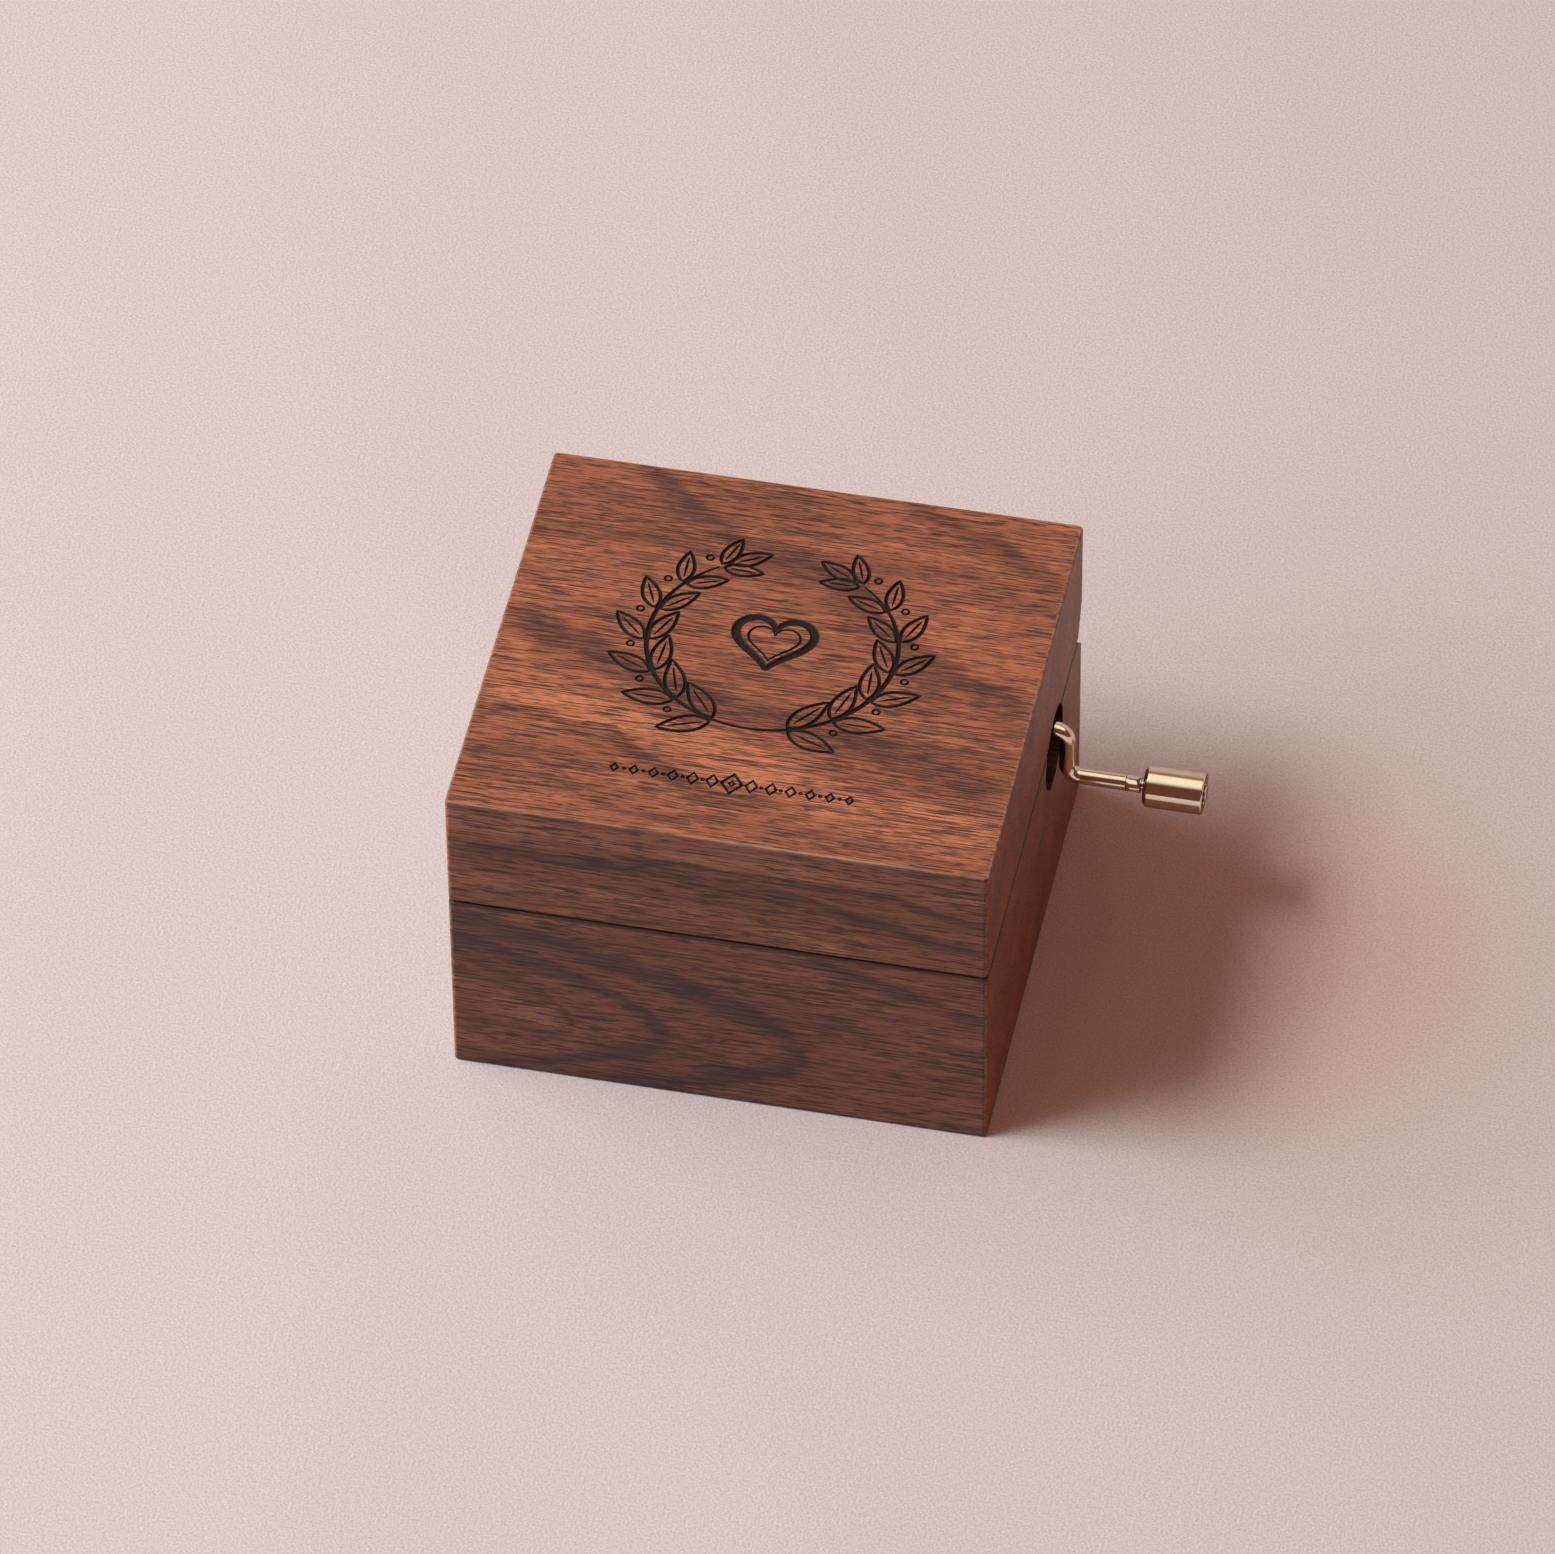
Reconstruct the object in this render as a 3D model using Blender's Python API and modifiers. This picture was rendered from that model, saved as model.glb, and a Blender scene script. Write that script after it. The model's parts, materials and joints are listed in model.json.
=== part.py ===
"""Hand-cranked music box: a small milled walnut box with a hinged lid, a bent-wire crank on its
right side, and a comb-and-cylinder movement inside that a worm on the crank's shaft turns.

X runs to the right, Y to the back and Z up. The origin is the middle of the underside.
"""

import math

import bmesh
import bpy
from mathutils import Matrix, Vector

MM = 0.001

# Box
BOX_WIDTH = 65.0 * MM
BOX_DEPTH = 60.0 * MM
BOX_HEIGHT = 44.5 * MM
PARTING_HEIGHT = 27.6 * MM
CORNER_RADIUS = 0.6 * MM
EDGE_RADIUS = 0.35 * MM
RIM_RADIUS = 0.3 * MM
SIDE_WALL = 7.0 * MM
FRONT_WALL = 7.0 * MM
BACK_WALL = 9.2 * MM
FLOOR_THICKNESS = 9.8 * MM
LID_THICKNESS = 5.0 * MM
POCKET_RADIUS = 4.0 * MM

# V groove along the back, where the lid turns
GROOVE_DEPTH = 2.9 * MM
LID_CHAMFER_RISE = 5.8 * MM
BASE_CHAMFER_DROP = 3.2 * MM

# Barrel hinges
HINGE_INSET = 12.5 * MM
BARREL_RADIUS = 2.5 * MM
BARREL_LENGTH = 8.5 * MM
BARREL_SETBACK = 2.1 * MM
KNUCKLE_RADIUS = 1.3 * MM
KNUCKLE_THICKNESS = 1.4 * MM
FORK_THICKNESS = 1.0 * MM
HINGE_PIN_RADIUS = 0.5 * MM

# Lid magnets
MAGNET_RADIUS = 2.5 * MM
MAGNET_THICKNESS = 2.0 * MM
MAGNET_INSET = 10.5 * MM

# Crank
SHAFT_Y = 12.1 * MM
WIRE_RADIUS = 1.0 * MM
ARM_CLEARANCE = 0.6 * MM
CRANK_THROW = 7.4 * MM
SHAFT_BEND_RADIUS = 1.7 * MM
HANDLE_BEND_RADIUS = 1.8 * MM
HANDLE_LENGTH = 7.3 * MM
PINCH_LENGTH = 1.8 * MM
PINCH_RADIUS = 1.1 * MM
KNOB_PIN_RADIUS = 0.72 * MM
PIN_HEAD_RADIUS = 1.0 * MM
PIN_HEAD_LENGTH = 0.6 * MM
KNOB_RADIUS = 2.6 * MM
KNOB_LENGTH = 7.3 * MM
KNOB_INNER_CHAMFER = 0.4 * MM
KNOB_OUTER_CHAMFER = 0.15 * MM
KNOB_RECESS_RADIUS = 1.4 * MM
KNOB_RECESS_DEPTH = 0.5 * MM
KNOB_PLAY = 0.4 * MM
SHAFT_HOLE_RADIUS = 5.4 * MM
SHAFT_HOLE_DROP = 3.1 * MM

# Movement
MOVEMENT_X = 6.5 * MM
BED_THICKNESS = 2.0 * MM
BED_MARGIN = 0.9 * MM
BED_CORNER_RADIUS = 1.5 * MM
ARBOR_HEIGHT = 9.0 * MM
ARBOR_RADIUS = 1.0 * MM
EAR_THICKNESS = 1.2 * MM
EAR_HALF_WIDTH = 3.8 * MM
EAR_SPACING = 2.0 * MM
SHEET_THICKNESS = 1.0 * MM
SHEET_BEND_RADIUS = 1.4 * MM
BRACKET_RISE = 3.6 * MM
BRACKET_REACH = 3.2 * MM
FOOT_WIDTH = 6.0 * MM
BUSH_WALL = 0.95 * MM
BUSH_FLANGE_RADIUS = 2.8 * MM
BUSH_FLANGE_THICKNESS = 0.6 * MM
COLLAR_RADIUS = 2.4 * MM
COLLAR_LENGTH = 2.5 * MM
CLIP_RADIUS = 2.2 * MM
CLIP_THICKNESS = 0.6 * MM

# Comb and cylinder
TOOTH_COUNT = 18
TOOTH_PITCH = 1.1 * MM
SLOT_WIDTH = 0.25 * MM
TOOTH_THICKNESS = 0.8 * MM
HEEL_THICKNESS = 2.0 * MM
HEEL_WIDTH = 6.5 * MM
COMB_LENGTH = 19.5 * MM
SHORTEST_TOOTH = 8.0 * MM
TIP_CLEARANCE = 0.25 * MM
DRUM_RADIUS = 6.5 * MM
DRUM_WALL = 0.8 * MM
DRUM_MARGIN = 0.7 * MM
CAP_THICKNESS = 1.2 * MM
PIN_HEIGHT = 0.8 * MM
PIN_WIDTH = 0.32 * MM
PIN_STEPS = 52

# Worm and wheel
MODULE = 0.6 * MM
WHEEL_TEETH = 20
WHEEL_WIDTH = 3.2 * MM
WHEEL_HUB_RADIUS = 3.0 * MM
WORM_PITCH_RADIUS = 2.4 * MM
WORM_TURNS = 4
ADDENDUM = 0.9
DEDENDUM = 1.25
PRESSURE_ANGLE = math.radians(20)
BACKLASH = 0.19 * MM

# Screws
SMALL_SCREW_RADIUS = 1.0 * MM
SMALL_HEAD_RADIUS = 1.9 * MM
SMALL_HEAD_HEIGHT = 1.2 * MM
COMB_SCREW_SPACING = 14.0 * MM
COMB_SCREW_LENGTH = 5.0 * MM
BRACKET_SCREW_LENGTH = 3.0 * MM
LONG_SCREW_RADIUS = 1.25 * MM
LONG_HEAD_RADIUS = 2.4 * MM
LONG_HEAD_HEIGHT = 1.6 * MM
LONG_SCREW_LENGTH = 7.2 * MM
COUNTERBORE_DEPTH = 5.0 * MM
DRIVER_SLOT_WIDTH = 0.5 * MM

# Clearances
PARTING_GAP = 0.3 * MM
SEAT_GAP = 0.3 * MM
FIT_GAP = 0.15 * MM
RUN_CLEARANCE = 0.08 * MM
SIDE_PLAY = 0.2 * MM
WHEEL_CLEARANCE = 0.9 * MM
WORM_CLEARANCE = 0.6 * MM
OVERCUT = 1.0 * MM

# Roundness
BOX_CORNER_STEPS = 4
ROUND_STEPS = 24
SMALL_STEPS = 16
HOLE_STEPS = 48
DRUM_STEPS = 40
KNOB_STEPS = 32
WORM_CORE_STEPS = 20
RIM_STEPS = 2
BEND_STEPS = 8
SHEET_BEND_STEPS = 4
WIRE_RESOLUTION = 6
WELD_DISTANCE = MM / 10000
SHARP_ANGLE = math.radians(35)

# Places worked out from the sizes
BASE_TOP = PARTING_HEIGHT - PARTING_GAP / 2
LID_BOTTOM = PARTING_HEIGHT + PARTING_GAP / 2
RIGHT_FACE = BOX_WIDTH / 2
BACK_FACE = BOX_DEPTH / 2
POCKET_HALF_WIDTH = RIGHT_FACE - SIDE_WALL
POCKET_FRONT = FRONT_WALL - BACK_FACE
POCKET_BACK = BACK_FACE - BACK_WALL
HINGE_Y = BACK_FACE - GROOVE_DEPTH
HINGE_Z = PARTING_HEIGHT
BARREL_Y = HINGE_Y - BARREL_SETBACK
MAGNET_Y = FRONT_WALL / 2 - BACK_FACE
HINGES = {"left": HINGE_INSET - RIGHT_FACE, "right": RIGHT_FACE - HINGE_INSET}
MAGNETS = {"left": MAGNET_INSET - RIGHT_FACE, "right": RIGHT_FACE - MAGNET_INSET}

PITCH_RADIUS = MODULE * WHEEL_TEETH / 2
LEAD = math.pi * MODULE
WHEEL_TIP_RADIUS = PITCH_RADIUS + ADDENDUM * MODULE
WHEEL_ROOT_RADIUS = PITCH_RADIUS - DEDENDUM * MODULE
WORM_TIP_RADIUS = WORM_PITCH_RADIUS + ADDENDUM * MODULE
WORM_ROOT_RADIUS = WORM_PITCH_RADIUS - DEDENDUM * MODULE
WORM_HALF_LENGTH = WORM_TURNS * LEAD / 2 + LEAD / 2

BED_BOTTOM = FLOOR_THICKNESS + SEAT_GAP
BED_TOP = BED_BOTTOM + BED_THICKNESS
ARBOR_Z = BED_BOTTOM + ARBOR_HEIGHT
SHAFT_Z = ARBOR_Z + PITCH_RADIUS + WORM_PITCH_RADIUS
HANDLE_Z = SHAFT_Z - CRANK_THROW
SHAFT_HOLE_Z = SHAFT_Z - SHAFT_HOLE_DROP

DRUM_LENGTH = TOOTH_COUNT * TOOTH_PITCH + 2 * DRUM_MARGIN
DRUM_BACK = SHAFT_Y - WORM_TIP_RADIUS - WORM_CLEARANCE
DRUM_FRONT = DRUM_BACK - DRUM_LENGTH
PIN_TIP_RADIUS = DRUM_RADIUS + PIN_HEIGHT
WHEEL_BACK = SHAFT_Y + WHEEL_WIDTH / 2

EAR_BACK = DRUM_FRONT - EAR_SPACING
EAR_FRONT = EAR_BACK - EAR_THICKNESS
BRACKET_INNER_Y = WHEEL_BACK + EAR_SPACING
BRACKET_BACK = BRACKET_INNER_Y + SHEET_THICKNESS
BRACKET_FRONT = SHAFT_Y - BRACKET_REACH
CHEEK_INNER = max(PIN_TIP_RADIUS, WORM_HALF_LENGTH) + WHEEL_CLEARANCE
CHEEK_OUTER = CHEEK_INNER + SHEET_THICKNESS
FOOT_BOTTOM = BED_TOP + SEAT_GAP
FOOT_TOP = FOOT_BOTTOM + SHEET_THICKNESS
BRACKET_TOP = SHAFT_Z + BRACKET_RISE
FOOT_CENTRE = CHEEK_OUTER + FOOT_WIDTH / 2

COMB_TIP = MOVEMENT_X - PIN_TIP_RADIUS - TIP_CLEARANCE
COMB_BACK = COMB_TIP - COMB_LENGTH
HEEL_EDGE = COMB_BACK + HEEL_WIDTH
HEEL_CENTRE = COMB_BACK + HEEL_WIDTH / 2
COMB_MIDDLE = (DRUM_FRONT + DRUM_BACK) / 2
COMB_HALF_WIDTH = TOOTH_COUNT * TOOTH_PITCH / 2
TOOTH_TOP = ARBOR_Z + TOOTH_THICKNESS / 2
HEEL_BOTTOM = TOOTH_TOP - HEEL_THICKNESS
COMB_SEAT = HEEL_BOTTOM - SEAT_GAP

BED_LEFT = COMB_BACK - 2 * BED_MARGIN
BED_RIGHT = MOVEMENT_X + CHEEK_OUTER + FOOT_WIDTH + BED_MARGIN
BED_FRONT = EAR_FRONT - BED_MARGIN
BED_BACK = BRACKET_BACK + BED_MARGIN
WINDOW_HALF_WIDTH = PIN_TIP_RADIUS + BED_MARGIN
ARM_X = RIGHT_FACE + ARM_CLEARANCE + WIRE_RADIUS
PINCH_START = ARM_X + HANDLE_LENGTH
PINCH_END = PINCH_START + PINCH_LENGTH
KNOB_START = PINCH_END + KNOB_PLAY
KNOB_END = KNOB_START + KNOB_LENGTH

MATERIALS = {
    "walnut": ((0.20, 0.085, 0.045), 0.45, 0.0),
    "plated_wire": ((0.83, 0.70, 0.50), 0.18, 1.0),
    "brass": ((0.80, 0.58, 0.25), 0.28, 1.0),
    "steel": ((0.55, 0.56, 0.58), 0.30, 1.0),
    "magnet_nickel": ((0.62, 0.60, 0.56), 0.25, 1.0),
    "cast_zinc": ((0.60, 0.58, 0.52), 0.42, 1.0),
    "sheet_steel": ((0.62, 0.60, 0.55), 0.34, 1.0),
    "comb_steel": ((0.50, 0.51, 0.53), 0.24, 1.0),
    "bronze": ((0.62, 0.40, 0.20), 0.35, 1.0),
}

AXIS_TURNS = {
    "X": Matrix.Rotation(math.pi / 2, 4, "Y"),
    "Y": Matrix.Rotation(-math.pi / 2, 4, "X"),
    "Z": Matrix.Identity(4),
}
PLANE_TURNS = {
    "YZ": Matrix(((0, 0, 1, 0), (1, 0, 0, 0), (0, 1, 0, 0), (0, 0, 0, 1))),
    "XZ": Matrix(((1, 0, 0, 0), (0, 0, -1, 0), (0, 1, 0, 0), (0, 0, 0, 1))),
    "XY": Matrix.Identity(4),
}


def clear_scene():
    for obj in list(bpy.data.objects):
        bpy.data.objects.remove(obj, do_unlink=True)


def add_collection(name):
    collection = bpy.data.collections.new(name)
    bpy.context.scene.collection.children.link(collection)
    return collection


def make_materials():
    made = {}
    for name, (colour, roughness, metallic) in MATERIALS.items():
        material = bpy.data.materials.new(name)
        material.use_nodes = True
        shader = material.node_tree.nodes["Principled BSDF"]
        shader.inputs["Base Color"].default_value = (*colour, 1.0)
        shader.inputs["Roughness"].default_value = roughness
        shader.inputs["Metallic"].default_value = metallic
        material.diffuse_color = (*colour, 1.0)
        made[name] = material
    return made


def object_from(bm, name):
    """A new mesh object in the cutters' collection. as_part() moves it to the parts."""
    bmesh.ops.recalc_face_normals(bm, faces=bm.faces)
    mesh = bpy.data.meshes.new(name)
    bm.to_mesh(mesh)
    bm.free()
    obj = bpy.data.objects.new(name, mesh)
    CUTTERS.objects.link(obj)
    obj.hide_render = True
    obj.display_type = "WIRE"
    return obj


def as_part(obj, material, pivot=None):
    """Shows an object as a sub-part with its own material, under the empty that it turns with."""
    CUTTERS.objects.unlink(obj)
    PARTS.objects.link(obj)
    obj.hide_render = False
    obj.display_type = "TEXTURED"
    obj.data.materials.clear()
    obj.data.materials.append(SHADERS[material])
    if pivot:
        obj.parent = pivot
        obj.matrix_parent_inverse = pivot.matrix_world.inverted()
    return obj


def make_pivot(name, place):
    pivot = bpy.data.objects.new(name, None)
    pivot.empty_display_size = BOX_HEIGHT / 4
    pivot.location = place
    PARTS.objects.link(pivot)
    bpy.context.view_layer.update()
    return pivot


def box(name, low, high):
    """A box between two opposite corners, with its origin in its middle."""
    low, high = Vector(low), Vector(high)
    bm = bmesh.new()
    bmesh.ops.create_cube(bm, size=1.0)
    bmesh.ops.scale(bm, vec=high - low, verts=bm.verts)
    obj = object_from(bm, name)
    obj.location = (low + high) / 2
    return obj


def boxes(name, corners):
    """Several separate boxes in one object, for a row of equal cuts."""
    bm = bmesh.new()
    for low, high in corners:
        low, high = Vector(low), Vector(high)
        place = Matrix.Translation((low + high) / 2) @ Matrix.Diagonal((*(high - low), 1.0))
        bmesh.ops.create_cube(bm, size=1.0, matrix=place)
    return object_from(bm, name)


def rounded_block(name, low, high, corner_radius, lower_radius=0.0, upper_radius=0.0):
    """A box whose upright edges are rounded first, then its lower and upper rims."""
    obj = box(name, low, high)
    bm = bmesh.new()
    bm.from_mesh(obj.data)
    half_height = (high[2] - low[2]) / 2
    upright = [e for e in bm.edges if e.verts[0].co.z * e.verts[1].co.z < 0]
    bmesh.ops.bevel(
        bm, geom=upright, offset=corner_radius, segments=BOX_CORNER_STEPS, profile=0.5, affect="EDGES"
    )
    for level, radius in ((-half_height, lower_radius), (half_height, upper_radius)):
        if radius <= 0:
            continue
        rim = [e for e in bm.edges if all(abs(v.co.z - level) < radius / 100 for v in e.verts)]
        bmesh.ops.bevel(bm, geom=rim, offset=radius, segments=RIM_STEPS, profile=0.5, affect="EDGES")
    bm.to_mesh(obj.data)
    bm.free()
    return obj


def cylinder(name, radius, start, end, steps=ROUND_STEPS):
    """A straight cylinder between the middles of its two ends."""
    start, end = Vector(start), Vector(end)
    bm = bmesh.new()
    bmesh.ops.create_cone(
        bm,
        cap_ends=True,
        segments=steps,
        radius1=radius,
        radius2=radius,
        depth=(end - start).length,
    )
    obj = object_from(bm, name)
    turn = (end - start).to_track_quat("Z", "Y").to_matrix().to_4x4()
    obj.matrix_world = Matrix.Translation((start + end) / 2) @ turn
    obj.data.shade_smooth()
    obj.data.set_sharp_from_angle(angle=SHARP_ANGLE)
    return obj


def realised(obj):
    """Replaces a curve, or an object with modifiers, by the plain mesh that it makes."""
    bpy.context.view_layer.update()
    graph = bpy.context.evaluated_depsgraph_get()
    mesh = bpy.data.meshes.new_from_object(obj.evaluated_get(graph))
    bm = bmesh.new()
    bm.from_mesh(mesh)
    bpy.data.meshes.remove(mesh)
    bmesh.ops.remove_doubles(bm, verts=bm.verts, dist=WELD_DISTANCE)
    bmesh.ops.holes_fill(bm, edges=bm.edges)
    name, place = obj.name, obj.matrix_world.copy()
    bpy.data.objects.remove(obj, do_unlink=True)
    made = object_from(bm, name)
    made.matrix_world = place
    made.data.shade_smooth()
    made.data.set_sharp_from_angle(angle=SHARP_ANGLE)
    return made


def turned(name, profile, place, axis, steps=ROUND_STEPS, bored=False):
    """A turned shape. The profile's (radius, height) points run down its outer side, and a bored
    profile is closed up its bore."""
    mesh = bpy.data.meshes.new(name)
    last = len(profile) - 1
    edges = [(i, i + 1) for i in range(last)] + ([(last, 0)] if bored else [])
    mesh.from_pydata([(radius, 0.0, height) for radius, height in profile], edges, [])
    obj = bpy.data.objects.new(name, mesh)
    CUTTERS.objects.link(obj)
    obj.matrix_world = Matrix.Translation(place) @ AXIS_TURNS[axis]
    screw = obj.modifiers.new("Turn", "SCREW")
    screw.steps = screw.render_steps = steps
    screw.use_merge_vertices = True
    screw.merge_threshold = WELD_DISTANCE
    return realised(obj)


def extruded(name, outline, thickness, place, plane):
    """A flat outline with thickness, centred on its plane at the given place."""
    curve = bpy.data.curves.new(name, "CURVE")
    curve.dimensions = "2D"
    curve.fill_mode = "BOTH"
    curve.extrude = thickness / 2
    spline = curve.splines.new("POLY")
    spline.points.add(len(outline) - 1)
    for point, (u, v) in zip(spline.points, outline):
        point.co = (u, v, 0.0, 1.0)
    spline.use_cyclic_u = True
    obj = bpy.data.objects.new(name, curve)
    CUTTERS.objects.link(obj)
    obj.matrix_world = Matrix.Translation(place) @ PLANE_TURNS[plane]
    return realised(obj)


def arc(centre, radius, start_angle, end_angle, steps):
    """Points of an arc, with angles in degrees."""
    angles = [
        math.radians(start_angle + (end_angle - start_angle) * i / steps) for i in range(steps + 1)
    ]
    return [(centre[0] + radius * math.cos(a), centre[1] + radius * math.sin(a)) for a in angles]


def combine(target, other, operation):
    modifier = target.modifiers.new(other.name, "BOOLEAN")
    modifier.operation = operation
    modifier.object = other
    modifier.solver = "EXACT"
    return target


def cut(target, *cutters):
    for cutter in cutters:
        combine(target, cutter, "DIFFERENCE")
    return target


def join(target, *others):
    for other in others:
        combine(target, other, "UNION")
    return target


def chamfer_wedge(name, level, rise):
    """What the V groove takes off: from the hinge line at this level out to the back face,
    where the groove's side has risen (or, below zero, dropped) this far."""
    reach = GROOVE_DEPTH + OVERCUT
    outer = (HINGE_Y + reach, level + rise * reach / GROOVE_DEPTH)
    away = (HINGE_Y + reach, level - math.copysign(OVERCUT, rise))
    inner = (HINGE_Y, level - math.copysign(OVERCUT, rise))
    outline = [(HINGE_Y, level), outer, away, inner]
    return extruded(name, outline, BOX_WIDTH + 2 * OVERCUT, (0, 0, 0), "YZ")


def shaft_hole(name):
    start = (POCKET_HALF_WIDTH - OVERCUT, SHAFT_Y, SHAFT_HOLE_Z)
    end = (RIGHT_FACE + OVERCUT, SHAFT_Y, SHAFT_HOLE_Z)
    return cylinder(name, SHAFT_HOLE_RADIUS, start, end, HOLE_STEPS)


def hinge_pockets(side, x, level, depth):
    """Dowel hole from this level and the round pocket for the knuckles, for one half of the box."""
    hole = cylinder(
        f"{side}_dowel_hole",
        BARREL_RADIUS + FIT_GAP,
        (x, BARREL_Y, level - math.copysign(OVERCUT, depth)),
        (x, BARREL_Y, HINGE_Z + depth),
    )
    half_width = KNUCKLE_THICKNESS / 2 + SIDE_PLAY + FORK_THICKNESS + 2 * SIDE_PLAY
    pocket = cylinder(
        f"{side}_knuckle_pocket",
        KNUCKLE_RADIUS + SEAT_GAP,
        (x - half_width, HINGE_Y, HINGE_Z),
        (x + half_width, HINGE_Y, HINGE_Z),
    )
    return hole, pocket


def magnet_hole(side, x, level, depth):
    """Blind hole from the rim at this level; a negative depth goes down."""
    start = (x, MAGNET_Y, level - math.copysign(OVERCUT, depth))
    end = (x, MAGNET_Y, level + depth)
    return cylinder(f"{side}_magnet_hole", MAGNET_RADIUS + FIT_GAP, start, end)


def movement_screw_places():
    """Three screws: one under the comb's seat and two along the right edge of the bed."""
    right_strip = (MOVEMENT_X + WINDOW_HALF_WIDTH + BED_RIGHT) / 2
    inset = LONG_HEAD_RADIUS + BED_MARGIN
    return [
        (HEEL_CENTRE, COMB_MIDDLE),
        (right_strip, BED_FRONT + inset),
        (right_strip, BRACKET_FRONT - inset),
    ]


def build_base():
    base = rounded_block(
        "base_box",
        (-RIGHT_FACE, -BACK_FACE, 0),
        (RIGHT_FACE, BACK_FACE, BASE_TOP),
        CORNER_RADIUS,
        EDGE_RADIUS,
        RIM_RADIUS,
    )
    pocket = rounded_block(
        "base_pocket",
        (-POCKET_HALF_WIDTH, POCKET_FRONT, FLOOR_THICKNESS),
        (POCKET_HALF_WIDTH, POCKET_BACK, BASE_TOP + OVERCUT),
        POCKET_RADIUS,
    )
    wedge = chamfer_wedge("base_chamfer", BASE_TOP, PARTING_GAP / 2 - BASE_CHAMFER_DROP)
    cut(base, pocket, wedge, shaft_hole("base_shaft_hole"))
    for side, x in HINGES.items():
        depth = -(KNUCKLE_RADIUS + SEAT_GAP + BARREL_LENGTH + SEAT_GAP)
        cut(base, *hinge_pockets(f"base_{side}", x, BASE_TOP, depth))
    for side, x in MAGNETS.items():
        cut(base, magnet_hole(f"base_{side}", x, BASE_TOP, -(MAGNET_THICKNESS + SEAT_GAP)))
    for number, (x, y) in enumerate(movement_screw_places(), 1):
        counterbore = cylinder(
            f"counterbore_{number}",
            LONG_HEAD_RADIUS + SEAT_GAP,
            (x, y, -OVERCUT),
            (x, y, COUNTERBORE_DEPTH),
        )
        screw_hole = cylinder(
            f"base_screw_hole_{number}",
            LONG_SCREW_RADIUS + SEAT_GAP,
            (x, y, COUNTERBORE_DEPTH - OVERCUT),
            (x, y, FLOOR_THICKNESS + OVERCUT),
            SMALL_STEPS,
        )
        cut(base, counterbore, screw_hole)
    as_part(base, "walnut")


def build_lid(pivot):
    lid = rounded_block(
        "lid",
        (-RIGHT_FACE, -BACK_FACE, LID_BOTTOM),
        (RIGHT_FACE, BACK_FACE, BOX_HEIGHT),
        CORNER_RADIUS,
        RIM_RADIUS,
        EDGE_RADIUS,
    )
    cavity = rounded_block(
        "lid_cavity",
        (-POCKET_HALF_WIDTH, POCKET_FRONT, LID_BOTTOM - OVERCUT),
        (POCKET_HALF_WIDTH, POCKET_BACK, BOX_HEIGHT - LID_THICKNESS),
        POCKET_RADIUS,
    )
    wedge = chamfer_wedge("lid_chamfer", LID_BOTTOM, LID_CHAMFER_RISE - PARTING_GAP / 2)
    cut(lid, cavity, wedge, shaft_hole("lid_shaft_notch"))
    for side, x in HINGES.items():
        depth = KNUCKLE_RADIUS + SEAT_GAP + BARREL_LENGTH + SEAT_GAP
        cut(lid, *hinge_pockets(f"lid_{side}", x, LID_BOTTOM, depth))
    for side, x in MAGNETS.items():
        cut(lid, magnet_hole(f"lid_{side}", x, LID_BOTTOM, MAGNET_THICKNESS + SEAT_GAP))
    as_part(lid, "walnut", pivot)


def knuckle_plate(name, x, thickness, direction):
    """One flat lug of a hinge: a shank out of the dowel and a round eye on the hinge line."""
    shank_end = HINGE_Z + direction * (KNUCKLE_RADIUS + 2 * SEAT_GAP)
    shank_start = HINGE_Z + direction * (PARTING_GAP / 2 + SEAT_GAP)
    half_shank = BARREL_SETBACK - KNUCKLE_RADIUS / 3
    front, back = BARREL_Y - half_shank, BARREL_Y + half_shank
    low, high = sorted((shank_start, shank_end))
    shank = box(f"{name}_shank", (x - thickness / 2, front, low), (x + thickness / 2, back, high))
    eye = cylinder(
        f"{name}_eye",
        KNUCKLE_RADIUS,
        (x - thickness / 2, HINGE_Y, HINGE_Z),
        (x + thickness / 2, HINGE_Y, HINGE_Z),
    )
    return eye, shank


def build_hinge(side, x, lid_pivot):
    fork_offset = KNUCKLE_THICKNESS / 2 + SIDE_PLAY + FORK_THICKNESS / 2
    pin_reach = fork_offset + FORK_THICKNESS / 2 + SIDE_PLAY
    pin_ends = (x - pin_reach, HINGE_Y, HINGE_Z), (x + pin_reach, HINGE_Y, HINGE_Z)
    for half, direction, offsets, thickness in (
        ("base", -1, (0.0,), KNUCKLE_THICKNESS),
        ("lid", 1, (-fork_offset, fork_offset), FORK_THICKNESS),
    ):
        name = f"hinge_{side}_{half}_barrel"
        inner_end = HINGE_Z + direction * (KNUCKLE_RADIUS + SEAT_GAP)
        outer_end = inner_end + direction * BARREL_LENGTH
        barrel = cylinder(name, BARREL_RADIUS, (x, BARREL_Y, inner_end), (x, BARREL_Y, outer_end))
        for number, offset in enumerate(offsets):
            join(barrel, *reversed(knuckle_plate(f"{name}_{number}", x + offset, thickness, direction)))
        eye_hole = cylinder(
            f"{name}_eye_hole",
            HINGE_PIN_RADIUS + RUN_CLEARANCE,
            (x - pin_reach - OVERCUT, HINGE_Y, HINGE_Z),
            (x + pin_reach + OVERCUT, HINGE_Y, HINGE_Z),
            SMALL_STEPS,
        )
        cut(barrel, eye_hole)
        as_part(barrel, "brass", lid_pivot if half == "lid" else None)
    pin = cylinder(f"hinge_{side}_pin", HINGE_PIN_RADIUS, *pin_ends, SMALL_STEPS)
    as_part(pin, "steel")


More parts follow.
